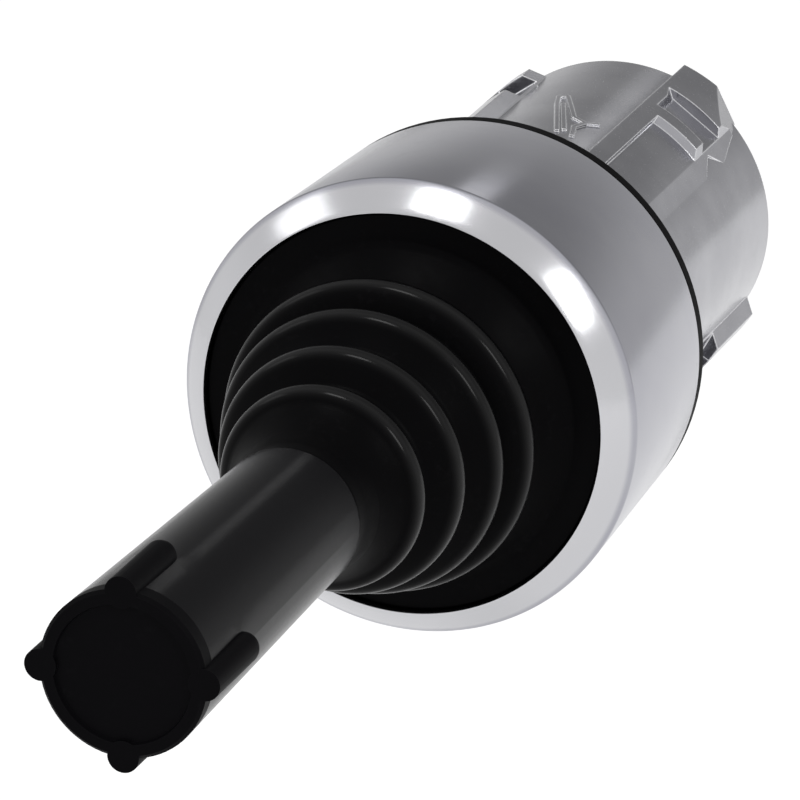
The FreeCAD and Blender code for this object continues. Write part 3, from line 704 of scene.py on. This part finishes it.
class Solid:
    """Closed mesh in metres that takes Boolean cuts and joins."""

    def __init__(self, bm: bmesh.types.BMesh) -> None:
        """Takes over a mesh and turns its faces outwards."""
        bmesh.ops.recalc_face_normals(bm, faces=bm.faces)
        self.mesh = mesh_from("solid", bm)

    @classmethod
    def prism(cls, outline: list[Vector], depth: Vector) -> "Solid":
        """Pushes a flat outline along a vector.

        Args:
            outline: corners in metres.
            depth: the push.

        Returns:
            The prism.
        """
        bm = bmesh.new()
        face = bm.faces.new([bm.verts.new(point) for point in outline])
        made = bmesh.ops.extrude_face_region(bm, geom=[face])["geom"]
        moved = [item for item in made if isinstance(item, bmesh.types.BMVert)]
        bmesh.ops.translate(bm, verts=moved, vec=depth)
        return cls(bm)

    @classmethod
    def rib(cls, section: list[tuple[float, float]], front: float, rear: float) -> "Solid":
        """Bar along the axis from one place to another.

        Args:
            section: (radius, angle) corners of the cross section.
            front: place of the front end.
            rear: place of the rear end.

        Returns:
            The bar.
        """
        outline = [spot(radius, angle, front) for radius, angle in section]
        return cls.prism(outline, AXIS * (rear - front) * MM)

    @classmethod
    def swept(cls, profile: list[tuple[float, float]], start: float, end: float, steps: int = 24) -> "Solid":
        """Turns a profile about the centre line.

        Args:
            profile: (radius, along) corners.
            start: first angle.
            end: last angle.
            steps: steps of the turn.

        Returns:
            The swept solid.
        """
        points = [spot(radius, start, along) for radius, along in profile]
        return cls(swept_face(points, ORIGIN, ORIGIN, math.radians(end - start), steps))

    @classmethod
    def beyond(cls, plane: list[Vector], reach: float = 20.0 * MM) -> "Solid":
        """Block on the outer side of a plane.

        Args:
            plane: three points of the plane.
            reach: half width and depth of the block.

        Returns:
            The block.
        """
        first, second, third = plane
        normal = (second - first).cross(third - first).normalized()
        if normal.dot(Vector((first.x, 0.0, first.z))) < 0.0:
            normal = -normal
        along = (second - first).normalized() * reach
        across = normal.cross(along)
        corners = [first + turn for turn in (along + across, across - along, -along - across, along - across)]
        return cls.prism(corners, normal * reach)

    def _combine(self, other: "Solid", operation: str) -> "Solid":
        """Changes this solid by a Boolean with another, which stays as it is.

        Args:
            other: the other solid.
            operation: Boolean operation.

        Returns:
            This solid.
        """
        pair = [scene_object("solid", solid.mesh) for solid in (self, other)]
        modifier = pair[0].modifiers.new("combine", "BOOLEAN")
        modifier.operation = operation
        modifier.solver = "EXACT"
        modifier.object = pair[1]
        graph = bpy.context.evaluated_depsgraph_get()
        self.mesh = bpy.data.meshes.new_from_object(pair[0].evaluated_get(graph))
        for item in pair:
            bpy.data.objects.remove(item)
        return self

    def cut(self, other: "Solid") -> "Solid":
        """Takes another solid away from this one."""
        return self._combine(other, "DIFFERENCE")

    def common(self, other: "Solid") -> "Solid":
        """Keeps what this solid shares with another."""
        return self._combine(other, "INTERSECT")

    def join(self, other: "Solid") -> "Solid":
        """Adds another solid to this one."""
        return self._combine(other, "UNION")

    def finished(self) -> bmesh.types.BMesh:
        """Mesh for a piece, with stray short edges merged.

        Returns:
            The mesh in metres.
        """
        bm = bmesh.new()
        bm.from_mesh(self.mesh)
        bmesh.ops.remove_doubles(bm, verts=bm.verts, dist=MERGE)
        return bm


@dataclass(frozen=True)
class SideRib:
    """Bayonet rib with drafted sides: feet as angles, rear end, pocket centre angle and pocket ends."""

    start: float
    end: float
    rear_y: float
    pocket_angle: float
    pocket_y: tuple


@dataclass
class CastBarrel:
    """Die cast housing: gimbal cup, panel flange, collar and barrel with bayonet ribs and an arrow mark."""

    cup_bore_r: float = 9.4
    cup_r: float = 12.3
    cup_front_y: float = -13.8
    flange_r: float = 13.2
    flange_front_y: float = -2.6
    flange_rear_y: float = -1.0
    gasket_bore_r: float = 10.6
    collar_r: float = 11.1
    collar_end_y: float = 4.0
    barrel_r: float = 10.14
    rear_y: float = 26.4
    land_y: tuple = (3.6, 9.0)
    land_r: float = 8.7
    bore_r: float = 9.2
    groove_r: float = 9.65
    groove_y: tuple = (24.2, 25.0)
    edge: float = 0.3
    crease_degrees: float = 5.0
    # Main rib, with its angles from the steep side to the foot of the sloping flank
    root_r: float = 9.67
    rib_r: float = 10.93
    rib_front_y: float = 3.5
    rib_rear_y: float = 26.78
    start: float = 20.4
    crest_start: float = 22.2
    centre: float = 37.0
    crest_end: float = 46.5
    shoulder_end: float = 49.3
    foot_end: float = 57.2
    # Cuts in the main rib, where pairs are (angle, along)
    cutter_r: float = 14.2
    overshoot: float = 1.0
    flank_margin: float = 4.0
    panel_start: float = 29.2
    panel_r: float = 10.40
    panel_ramp_y: tuple = (17.1, 17.35)
    slot_r: float = 10.20
    slot_y: tuple = (18.75, 22.2)
    slot_start: float = 26.2
    slot_lean: float = 2.7
    slot_corner: tuple = (24.4, 21.0)
    slot_corner_lean: float = 3.0
    slot_corner_set_back: float = 0.3
    notch_tip: tuple = (51.0, 19.5)
    notch_spread: float = 3.0
    taper_end: tuple = (50.0, 25.7)
    taper_length: float = 6.8
    tongue_top: tuple = (34.6, 27.25)
    tongue_side: tuple = (48.2, 22.2)
    # Side ribs and the arrow mark, with its strokes as (angle, along)
    side_r: float = 11.08
    side_draft: float = 4.5
    side_pocket: float = 1.6
    side_ribs: tuple = (
        SideRib(-62.0, -27.7, 25.0, -34.5, (20.1, 23.55)),
        SideRib(118.0, 152.0, 25.4, 119.5, (13.5, 17.8)),
        SideRib(198.0, 236.0, 25.4, 204.0, (20.1, 23.55)),
    )
    mark_strokes: tuple = (
        ((4.9, 10.3), (-5.1, 15.7), (-7.4, 17.3), (-4.0, 17.3), (6.0, 13.2), (11.3, 12.6), (15.0, 13.1)),
        ((-2.5, 15.5), (6.8, 10.7)),
        ((11.1, 10.0), (9.1, 11.5), (11.3, 12.6)),
    )
    mark_half_width: float = 0.16
    mark_height: float = 0.15
    mark_reach: float = 30.0
    mark_steps: int = 60

    def _arc(self, radius: float, start: float, end: float, steps: int = 16) -> list[tuple[float, float]]:
        """Round stretch of a section as (radius, angle) corners."""
        return [(radius, start + (end - start) * step / steps) for step in range(steps + 1)]

    def _flat_place(self, angle: float, along: float, centre: float) -> Vector:
        """Place of an (angle, along) corner on the plane through the axis that faces a centre angle."""
        return Vector((self.barrel_r * math.sin(math.radians(angle - centre)), along, 0.0))

    def _cutter(self, points: list[Vector], centre: float) -> Solid:
        """Pushes a flat outline in millimetres outwards at a centre angle, beyond the ribs.

        Args:
            points: corners in millimetres, before they are turned to the centre.
            centre: angle of the push.

        Returns:
            The cutter.
        """
        turn = turned_to(centre)
        outline = [turn @ (point * MM) for point in points]
        return Solid.prism(outline, turn @ Vector((0.0, 0.0, self.cutter_r * MM)))

    def _plan(self, outline: list[tuple[float, float]]) -> Solid:
        """Radial cutter for the sloping flank, from an outline of (angle, along) corners."""
        return self._cutter([self._flat_place(*corner, self.foot_end) for corner in outline], self.foot_end)

    def _pocket(self, ends: tuple[float, float], half_width: float, centre: float) -> Solid:
        """Cutter for a slot across a rib, with a flat floor just above the barrel.

        Args:
            ends: front and rear end.
            half_width: half of the slot's width.
            centre: angle of its middle.

        Returns:
            The cutter.
        """
        front, rear = ends
        corners = [(-half_width, front), (half_width, front), (half_width, rear), (-half_width, rear)]
        return self._cutter([Vector((across, along, self.slot_r)) for across, along in corners], centre)

    def _main_rib(self) -> Solid:
        """Rib with one steep side, a notched sloping flank, a panel and a cross slot.

        Returns:
            The main rib.
        """
        section = self._arc(self.root_r, self.foot_end, self.start)
        section += [(self.barrel_r, self.start)] + self._arc(self.rib_r, self.crest_start, self.crest_end)
        section += [(self.panel_r, self.shoulder_end), (self.barrel_r, self.foot_end)]
        rib = Solid.rib(section, self.rib_front_y, self.rib_rear_y)
        self._cut_flank(rib)
        self._cut_slot(rib)
        ramp_start, ramp_end = self.panel_ramp_y
        profile = [(self.panel_r, 0.0), (self.panel_r, ramp_start), (self.rib_r, ramp_end),
                   (self.cutter_r, ramp_end), (self.cutter_r, 0.0)]
        return rib.cut(Solid.swept(profile, self.panel_start, self.shoulder_end + self.overshoot))

    def _cut_flank(self, rib: Solid) -> None:
        """Cuts the notch, the taper and the tongue's corner.

        Args:
            rib: main rib, which is changed.
        """
        outside = self.foot_end + self.flank_margin
        tip_y = self.notch_tip[1]
        notch = [(outside, tip_y - self.notch_spread), self.notch_tip, (outside, tip_y + self.notch_spread)]
        rib.cut(self._plan(notch))
        end, end_y = self.taper_end
        rear = self.rib_rear_y + self.overshoot
        taper = [(outside, end_y - self.taper_length), self.taper_end, (end, rear), (outside, rear)]
        rib.cut(self._plan(taper))
        rib.cut(Solid.beyond([spot(self.rib_r, *self.tongue_top), spot(self.rib_r, *self.tongue_side),
                              spot(self.barrel_r, *self.taper_end)]))

    def _cut_slot(self, rib: Solid) -> None:
        """Cuts the cross slot, whose closed end has two leaning planes.

        Args:
            rib: main rib, which is changed.
        """
        front, rear = self.slot_y
        corner_start, corner_y = self.slot_corner
        bend = spot(self.rib_r, self.slot_start, corner_y)
        closed_end = [
            spot(self.rib_r, self.slot_start, front),
            bend,
            spot(self.barrel_r, self.slot_start + self.slot_lean, corner_y),
        ]
        corner = [
            bend,
            spot(self.rib_r, corner_start, rear),
            spot(self.barrel_r, self.slot_start + self.slot_corner_lean, rear - self.slot_corner_set_back),
        ]
        for plane in (closed_end, corner):
            rib.cut(self._pocket(self.slot_y, self.cutter_r, self.centre).common(Solid.beyond(plane)))

    def _side_rib(self, rib: SideRib) -> Solid:
        """Rib with two drafted sides and one pocket.

        Args:
            rib: sizes of the rib.

        Returns:
            The side rib.
        """
        section = self._arc(self.root_r, rib.end, rib.start) + [(self.barrel_r, rib.start)]
        section += self._arc(self.side_r, rib.start + self.side_draft, rib.end - self.side_draft)
        section.append((self.barrel_r, rib.end))
        solid = Solid.rib(section, self.rib_front_y, rib.rear_y)
        return solid.cut(self._pocket(rib.pocket_y, self.side_pocket, rib.pocket_angle))

    def _mark(self) -> Solid:
        """Raised arrow outline that follows the barrel.

        Returns:
            The mark.
        """
        bars = [self._bar(*ends) for stroke in self.mark_strokes for ends in zip(stroke, stroke[1:])]
        mark = bars[0]
        for bar in bars[1:]:
            mark.join(bar)
        skin_r = self.barrel_r + self.mark_height
        ring = [(self.root_r, self.collar_end_y), (skin_r, self.collar_end_y), (skin_r, self.rear_y),
                (self.root_r, self.rear_y)]
        return mark.common(Solid.swept(ring, -self.mark_reach, self.mark_reach, self.mark_steps))

    def _bar(self, start: tuple[float, float], end: tuple[float, float]) -> Solid:
        """Straight bar between two (angle, along) points of the mark.

        Args:
            start: first point.
            end: last point.

        Returns:
            The bar.
        """
        centre = (start[0] + end[0]) / 2
        tail, tip = [self._flat_place(*point, centre) for point in (start, end)]
        along = (tip - tail).normalized() * self.mark_half_width
        across = Vector((-along.y, along.x, 0.0))
        corners = [tail - along - across, tip + along - across, tip + along + across, tail - along + across]
        return self._cutter(corners, centre)

    def _body(self) -> Solid:
        """Turned housing without its ribs.

        Returns:
            The housing.
        """
        land_front_y, land_rear_y = self.land_y
        groove_front_y, groove_rear_y = self.groove_y
        outline = [
            (self.cup_bore_r, self.cup_front_y),
            (self.cup_r - self.edge, self.cup_front_y),
            (self.cup_r, self.cup_front_y + self.edge),
            (self.cup_r, self.flange_front_y),
            (self.flange_r, self.flange_front_y),
            (self.flange_r, self.flange_rear_y),
            (self.gasket_bore_r, self.flange_rear_y),
            (self.gasket_bore_r, 0.0),
            (self.collar_r, 0.0),
            (self.collar_r, self.collar_end_y - self.edge),
            (self.collar_r - self.edge, self.collar_end_y),
            (self.barrel_r, self.collar_end_y),
            (self.barrel_r, self.rear_y - self.edge),
            (self.barrel_r - self.edge, self.rear_y),
            (self.bore_r, self.rear_y),
            (self.bore_r, groove_rear_y),
            (self.groove_r, groove_rear_y),
            (self.groove_r, groove_front_y),
            (self.bore_r, groove_front_y),
            (self.bore_r, land_rear_y),
            (self.land_r, land_rear_y),
            (self.land_r, land_front_y),
            (self.cup_bore_r, land_front_y),
        ]
        return Solid(turned_mesh([Corner(radius, along) for radius, along in outline], FINE_STEPS))

    def build(self, material: bpy.types.Material) -> Piece:
        """Joins the ribs and the mark to the turned housing.

        Args:
            material: cast finish.

        Returns:
            The piece.
        """
        body = self._body()
        for rib in [self._main_rib(), self._mark()] + [self._side_rib(rib) for rib in self.side_ribs]:
            body.join(rib)
        piece = Piece("barrel_cast", body.finished(), self.crease_degrees)
        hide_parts("barrel_housing")
        return piece.finish(material).on(Body.HOUSING)


@dataclass
class FrontBezel:
    """Metal ring at the front of the panel: flared skirt, polished bevel and opening lip."""

    rear_r: float = 13.94
    front_r: float = 14.52
    rear_y: float = -1.0
    skirt_end_y: float = -15.47
    front_y: float = -17.23
    opening_r: float = 12.67
    lip: float = 1.38
    inside_r: float = 13.2
    bulge: float = 0.07
    rear_round: float = 0.12
    skirt_round: float = 0.14
    bevel_round: float = 0.70
    front_land: float = 0.10
    front_round: float = 0.10
    opening_edge: float = 0.16
    opening_round: float = 0.04

    def build(self, material: bpy.types.Material) -> Piece:
        """Turns the ring and lets it stand for the plain one.

        Args:
            material: plated finish.

        Returns:
            The piece.
        """
        middle_r = (self.front_r + self.opening_r) / 2 + self.bulge
        middle_y = (self.skirt_end_y + self.front_y) / 2 - self.bulge
        outline = [
            Corner(self.rear_r, self.rear_y, self.rear_round),
            Corner(self.front_r, self.skirt_end_y, self.skirt_round),
            Corner(middle_r, middle_y, self.bevel_round),
            Corner(self.opening_r + self.front_land, self.front_y, self.front_round),
            Corner(self.opening_r, self.front_y + self.opening_edge, self.opening_round),
            Corner(self.opening_r, self.front_y + self.lip),
            Corner(self.inside_r, self.front_y + self.lip),
            Corner(self.inside_r, self.rear_y),
        ]
        piece = Piece("bezel_ring", turned_mesh(outline, FINE_STEPS))
        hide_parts("front_bezel")
        return piece.finish(material).on(Body.HOUSING)


@dataclass(frozen=True)
class Convolution:
    """One fold of the boot: crest radius and distance in front of the bezel."""

    crest_r: float
    reach: float


@dataclass
class BellowsBoot:
    """Rubber boot: clamped flange, four convolutions with flat crests, and a neck on the rod."""

    front_y: float = -17.23
    rim_r: float = 13.15
    opening_r: float = 12.60
    lip: float = 1.38
    seat_y: float = -14.8
    seat_r: float = 8.8
    face_y: float = -16.75
    face_round: float = 0.10
    neck_r: float = 4.25
    neck_end_y: float = -36.41
    neck_round: float = 0.15
    rod_r: float = 2.56
    rod_grip: float = 2.0
    wall: float = 0.55
    steps: int = 200
    crease_degrees: float = 60.0
    # Steps at the foot and the neck, as (radius beyond the crest or the neck, way to the front, rounding)
    foot_steps: tuple = ((0.75, 0.0, 0.35), (-0.45, 1.1, 0.45), (-1.35, 2.1, 0.35))
    neck_steps: tuple = ((0.55, 1.9, 0.8), (0.0, 3.3, 0.8))
    # Folds
    folds: tuple = (
        Convolution(9.92, 3.97), Convolution(8.99, 7.07), Convolution(7.79, 10.57), Convolution(6.44, 13.87),
    )
    land: float = 0.42
    land_fall: float = 0.10
    slope: float = 0.50
    panel_drop: float = 0.75
    lever_drop: float = 0.85
    panel_round: float = 0.25
    crest_round: float = 0.32
    lever_round: float = 0.20
    valley_drop: float = 1.45
    valley_round: float = 0.35
    seam: float = 0.28
    seam_round: float = 0.25
    # Shine along the crests
    shine_reach: float = 1.3
    shine_full: float = 0.14
    shine_fade: float = 0.50

    def crest(self, fold: Convolution) -> list[Corner]:
        """Outline over one crest, from the panel side to the lever side.

        Args:
            fold: fold of the crest.

        Returns:
            The corners.
        """
        y = self.front_y - fold.reach
        return [
            Corner(fold.crest_r - self.panel_drop, y + self.land + self.slope, self.panel_round),
            Corner(fold.crest_r, y + self.land, self.crest_round),
            Corner(fold.crest_r - self.land_fall, y - self.land, self.crest_round),
            Corner(fold.crest_r - self.lever_drop, y - self.land - self.slope, self.lever_round),
        ]

    def valley(self, first: Convolution, second: Convolution) -> list[Corner]:
        """Rounded bottom between two folds."""
        y = self.front_y - (first.reach + second.reach) / 2
        return [Corner((first.crest_r + second.crest_r) / 2 - self.valley_drop, y, self.valley_round)]

    def half_valley(self, first: Convolution, second: Convolution, side: int) -> list[Corner]:
        """Half of a valley with a short flat bottom, where the boot's two parts meet.

        Args:
            first: fold on the panel side.
            second: fold on the lever side.
            side: 1 for the half towards the panel, -1 for the half towards the lever.

        Returns:
            The corners from the middle outwards.
        """
        bottom = self.valley(first, second)[0]
        return [Corner(bottom.radius, bottom.along),
                Corner(bottom.radius, bottom.along + side * self.seam, self.seam_round)]

    def inner(self, outline: list[Corner]) -> list[Corner]:
        """Inner skin that follows an outer outline, walked back."""
        return [Corner(corner.radius - self.wall, corner.along) for corner in reversed(outline)]

    def build(self, material: bpy.types.Material) -> list[Piece]:
        """Turns the two parts, which meet in the first valley and are logged as lying between the housing,
        the gimbal and the lever.

        Args:
            material: rubber.

        Returns:
            The two pieces.
        """
        first, second, third, fourth = self.folds
        flange = [
            Corner(self.rim_r, self.seat_y),
            Corner(self.rim_r, self.front_y + self.lip),
            Corner(self.opening_r, self.front_y + self.lip),
            Corner(self.opening_r, self.face_y, self.face_round),
        ]
        flange += self._steps(first.crest_r, self.face_y, self.foot_steps)
        foot = [Corner(self.seat_r, self.face_y), Corner(self.seat_r, self.seat_y)]
        lower = self.crest(first) + self.half_valley(first, second, 1)[::-1]
        upper = self.half_valley(first, second, -1) + self.crest(second) + self.valley(second, third)
        upper += self.crest(third) + self.valley(third, fourth) + self.crest(fourth)
        end_y = self.front_y - fourth.reach
        neck = self._steps(self.neck_r, end_y, self.neck_steps) + [
            Corner(self.neck_r, self.neck_end_y, self.neck_round),
            Corner(self.rod_r, self.neck_end_y),
            Corner(self.rod_r, end_y - self.rod_grip),
        ]
        low = self._part("boot_lower", flange + lower + self.inner(lower) + foot, material)
        high = self._part("boot_upper", upper + neck + self.inner(upper), material)
        start, split, end = [AXIS * y * MM for y in (self.face_y, upper[0].along, end_y)]
        low.between(Body.HOUSING, Body.GIMBAL, start, split)
        high.between(Body.GIMBAL, Body.LEVER, split, end)
        return [low, high]

    def _steps(self, radius: float, from_y: float, steps: tuple) -> list[Corner]:
        """Corners from (radius beyond, way to the front, rounding) steps."""
        return [Corner(radius + beyond, from_y - ahead, rounding) for beyond, ahead, rounding in steps]

    def _part(self, name: str, outline: list[Corner], material: bpy.types.Material) -> Piece:
        """Turns one part of the boot.

        Args:
            name: name of the piece.
            outline: closed outline.
            material: rubber of the boot.

        Returns:
            The dressed piece, which stands for the plain bellows.
        """
        mesh = turned_mesh(outline, self.steps)
        self._mark_crests(mesh)
        piece = Piece(name, mesh, self.crease_degrees).finish(material)
        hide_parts("bellows")
        return piece

    def _mark_crests(self, bm: bmesh.types.BMesh) -> None:
        """Stores how near each point is to a crest, for the shine of the rubber.

        Args:
            bm: mesh of one part.
        """
        layer = bm.verts.layers.float.new(CREST)
        for vert in bm.verts:
            reach = self.front_y - vert.co.y / MM
            fold = min(self.folds, key=lambda candidate: abs(reach - candidate.reach))
            depth = fold.crest_r - math.hypot(vert.co.x, vert.co.z) / MM
            if abs(reach - fold.reach) < self.shine_reach:
                vert[layer] = min(1.0, max(0.0, 1.0 - (depth - self.shine_full) / self.shine_fade))


@dataclass
class PlungerSprings:
    """Coil springs between the plungers' heads and the housing."""

    centre_r: float = 5.7
    mean_r: float = 1.6
    wire_r: float = 0.2
    wire_sides: int = 12
    turns: float = 4.5
    steps: int = 162
    front_y: float = 2.85
    rear_y: float = 9.0
    crease_degrees: float = 60.0
    sides: tuple = (
        (Body.PLUNGER_TOP, 0.0),
        (Body.PLUNGER_RIGHT, 90.0),
        (Body.PLUNGER_BOTTOM, 180.0),
        (Body.PLUNGER_LEFT, 270.0),
    )

    def _coil(self, angle: float) -> bmesh.types.BMesh:
        """Winds the spring of the plunger at an angle round the barrel.

        Args:
            angle: angle of the plunger.

        Returns:
            The coil.
        """
        centre = spot(self.centre_r, angle, self.front_y + self.wire_r)
        section = []
        for side in range(self.wire_sides):
            turn = math.tau * side / self.wire_sides
            across = self.mean_r + self.wire_r * math.cos(turn)
            section.append(centre + Vector((across, self.wire_r * math.sin(turn), 0.0)) * MM)
        rise = AXIS * ((self.rear_y - self.front_y - 2 * self.wire_r) / self.steps * MM)
        return swept_face(section, centre, rise, self.turns * math.tau, self.steps)

    def build(self, material: bpy.types.Material) -> list[Piece]:
        """Sets one spring on each plunger's stem.

        Args:
            material: spring finish.

        Returns:
            The four pieces.
        """
        made = []
        for body, angle in self.sides:
            name = body.value.replace("plunger", "coil_spring")
            piece = Piece(name, self._coil(angle), self.crease_degrees).finish(material)
            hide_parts(body.value.replace("plunger", "plunger_spring"))
            start, end = [spot(self.centre_r, angle, y) for y in (self.front_y, self.rear_y)]
            made.append(piece.between(body, Body.HOUSING, start, end))
        return made


class FrameDresser:
    """Gives the carried over frame nodes their finished materials."""

    def __init__(self, made: dict[str, bpy.types.Material]) -> None:
        """Keeps the material of each slot."""
        self.made = made

    def dress(self) -> None:
        """Assigns each node the material of its slot in the record."""
        for row in frame["record"]["subparts"]:
            slot_name = row["material_slot"]
            for slot in frame["nodes"][row["node"]].material_slots:
                slot.material = self.made[slot_name]
            LOG.info("%s wears %s", row["node"], slot_name)


def heading(azimuth: float, elevation: float) -> Vector:
    """Unit vector at an azimuth from -Y towards +X and an elevation."""
    turn, rise = math.radians(azimuth), math.radians(elevation)
    return Vector((math.sin(turn) * math.cos(rise), -math.cos(turn) * math.cos(rise), math.sin(rise)))


@dataclass(frozen=True)
class Lamp:
    """Soft rectangular lamp aimed at the object, with its distance and sides in metres."""

    name: str
    azimuth: float
    elevation: float
    distance: float
    width: float
    height: float
    watts: float

    def add(self, target: Vector) -> None:
        """Hangs the lamp and aims it.

        Args:
            target: point in metres that the lamp faces.
        """
        light = bpy.data.lights.new(self.name, "AREA")
        light.shape = "RECTANGLE"
        light.size = self.width
        light.size_y = self.height
        light.energy = self.watts
        away = heading(self.azimuth, self.elevation)
        lamp = scene_object(self.name, light)
        lamp.location = target + away * self.distance
        lamp.rotation_euler = away.to_track_quat("Z", "Y").to_euler()


@dataclass
class Studio:
    """Pale floor, pale surroundings, soft lamps and the camera, with lengths in metres."""

    target: tuple = (-0.004937, -0.003248, -0.004110)
    camera_distance: float = 0.50004
    camera_azimuth: float = 19.487
    camera_elevation: float = 18.992
    camera_roll: float = 0.2534
    lens: float = 360.0
    sensor: float = 36.0
    far_clip: float = 20.0
    floor_z: float = -0.060
    floor_size: float = 0.9
    floor_paint: tuple = colour(0.82, 0.82, 0.82)
    floor_glow: float = 0.41
    grey_overhead: float = 0.12
    grey_behind: float = 0.33
    grey_high_behind: float = 0.22
    overhead_from: tuple = (0.0, 0.42)
    behind_from: tuple = (0.1, 0.8)
    world_light: float = 0.85
    lamps: tuple = (
        Lamp("lamp_top", -12.0, 68.0, 0.50, 0.12, 0.10, 0.32),
        Lamp("lamp_right", 58.0, 30.0, 0.55, 0.10, 0.17, 0.42),
        Lamp("lamp_left", -77.0, 36.0, 0.55, 0.20, 0.16, 0.14),
        Lamp("lamp_back", 184.9, 28.2, 0.55, 0.065, 0.04, 0.012),
    )

    def build(self) -> None:
        """Adds everything round the object."""
        self._floor()
        self._world()
        for lamp in self.lamps:
            lamp.add(Vector(self.target))
        self._camera()
        bpy.context.scene.view_settings.view_transform = "Standard"

    def _shown(self, graph: ShaderGraph) -> Value:
        """1 for rays that look at the background, straight or through gloss or glass.

        Args:
            graph: tree that the nodes go to.

        Returns:
            The share, 0 or 1.
        """
        path = graph.node("ShaderNodeLightPath")
        names = ("Is Camera Ray", "Is Glossy Ray", "Is Transmission Ray")
        seen, mirrored, passed = [Value(graph, path.outputs[name]) for name in names]
        return seen.math("MAXIMUM", mirrored).math("MAXIMUM", passed)

    def _floor(self) -> None:
        """Plain pale floor that keeps the object's shadow."""
        bm = bmesh.new()
        bmesh.ops.create_grid(bm, x_segments=1, y_segments=1, size=self.floor_size / 2)
        bmesh.ops.translate(bm, verts=bm.verts, vec=(0.0, 0.0, self.floor_z))
        floor = scene_object("studio_floor", mesh_from("studio_floor", bm))
        material = bpy.data.materials.new("studio_floor")
        graph = ShaderGraph(material)
        paint = graph.node("ShaderNodeBsdfDiffuse", None, {"Color": self.floor_paint})
        glow = {"Color": WHITE, "Strength": self._shown(graph) * self.floor_glow}
        shine = graph.node("ShaderNodeEmission", None, glow)
        graph.end(graph.node("ShaderNodeAddShader", None, {0: paint.outputs[0], 1: shine.outputs[0]}))
        floor.data.materials.append(material)

    def _world(self) -> None:
        """Pale surroundings: white round the horizon, greyer overhead and most of all behind the object."""
        world = bpy.data.worlds.new("studio")
        bpy.context.scene.world = world
        graph = ShaderGraph(world)
        _, depth, height = graph.parts(graph.value("ShaderNodeTexCoord", output="Generated"))
        behind = depth.between(*self.behind_from)
        overhead = height.between(*self.overhead_from)
        level = 1.0 - overhead * self.grey_overhead
        level = level - behind * (overhead * self.grey_high_behind + self.grey_behind)
        light, shown = [graph.node("ShaderNodeBackground", None, {"Color": WHITE, "Strength": strength})
                        for strength in (level * self.world_light, level)]
        shaders = {0: self._shown(graph), 1: light.outputs[0], 2: shown.outputs[0]}
        graph.end(graph.node("ShaderNodeMixShader", None, shaders))

    def _camera(self) -> None:
        """Camera at the photograph's viewing angle."""
        data = bpy.data.cameras.new("camera")
        data.lens = self.lens
        data.sensor_width = self.sensor
        data.clip_end = self.far_clip
        away = heading(self.camera_azimuth, self.camera_elevation)
        aim = away.to_track_quat("Z", "Y").to_matrix().to_4x4()
        aim = aim @ Matrix.Rotation(math.radians(-self.camera_roll), 4, "Z")
        camera = scene_object("camera", data)
        camera.matrix_world = Matrix.Translation(Vector(self.target) + away * self.camera_distance) @ aim
        bpy.context.scene.camera = camera


def main() -> None:
    """Builds the joystick's looks in order."""
    logging.basicConfig(level=logging.INFO, format="%(message)s")
    made = finishes()
    Studio().build()
    FrameDresser(made).dress()
    CastBarrel().build(made["die_cast_zinc"])
    FrontBezel().build(made["bright_chrome"])
    BellowsBoot().build(made["boot_rubber"])
    PlungerSprings().build(made["spring_steel"])


if __name__ == "__main__":
    main()
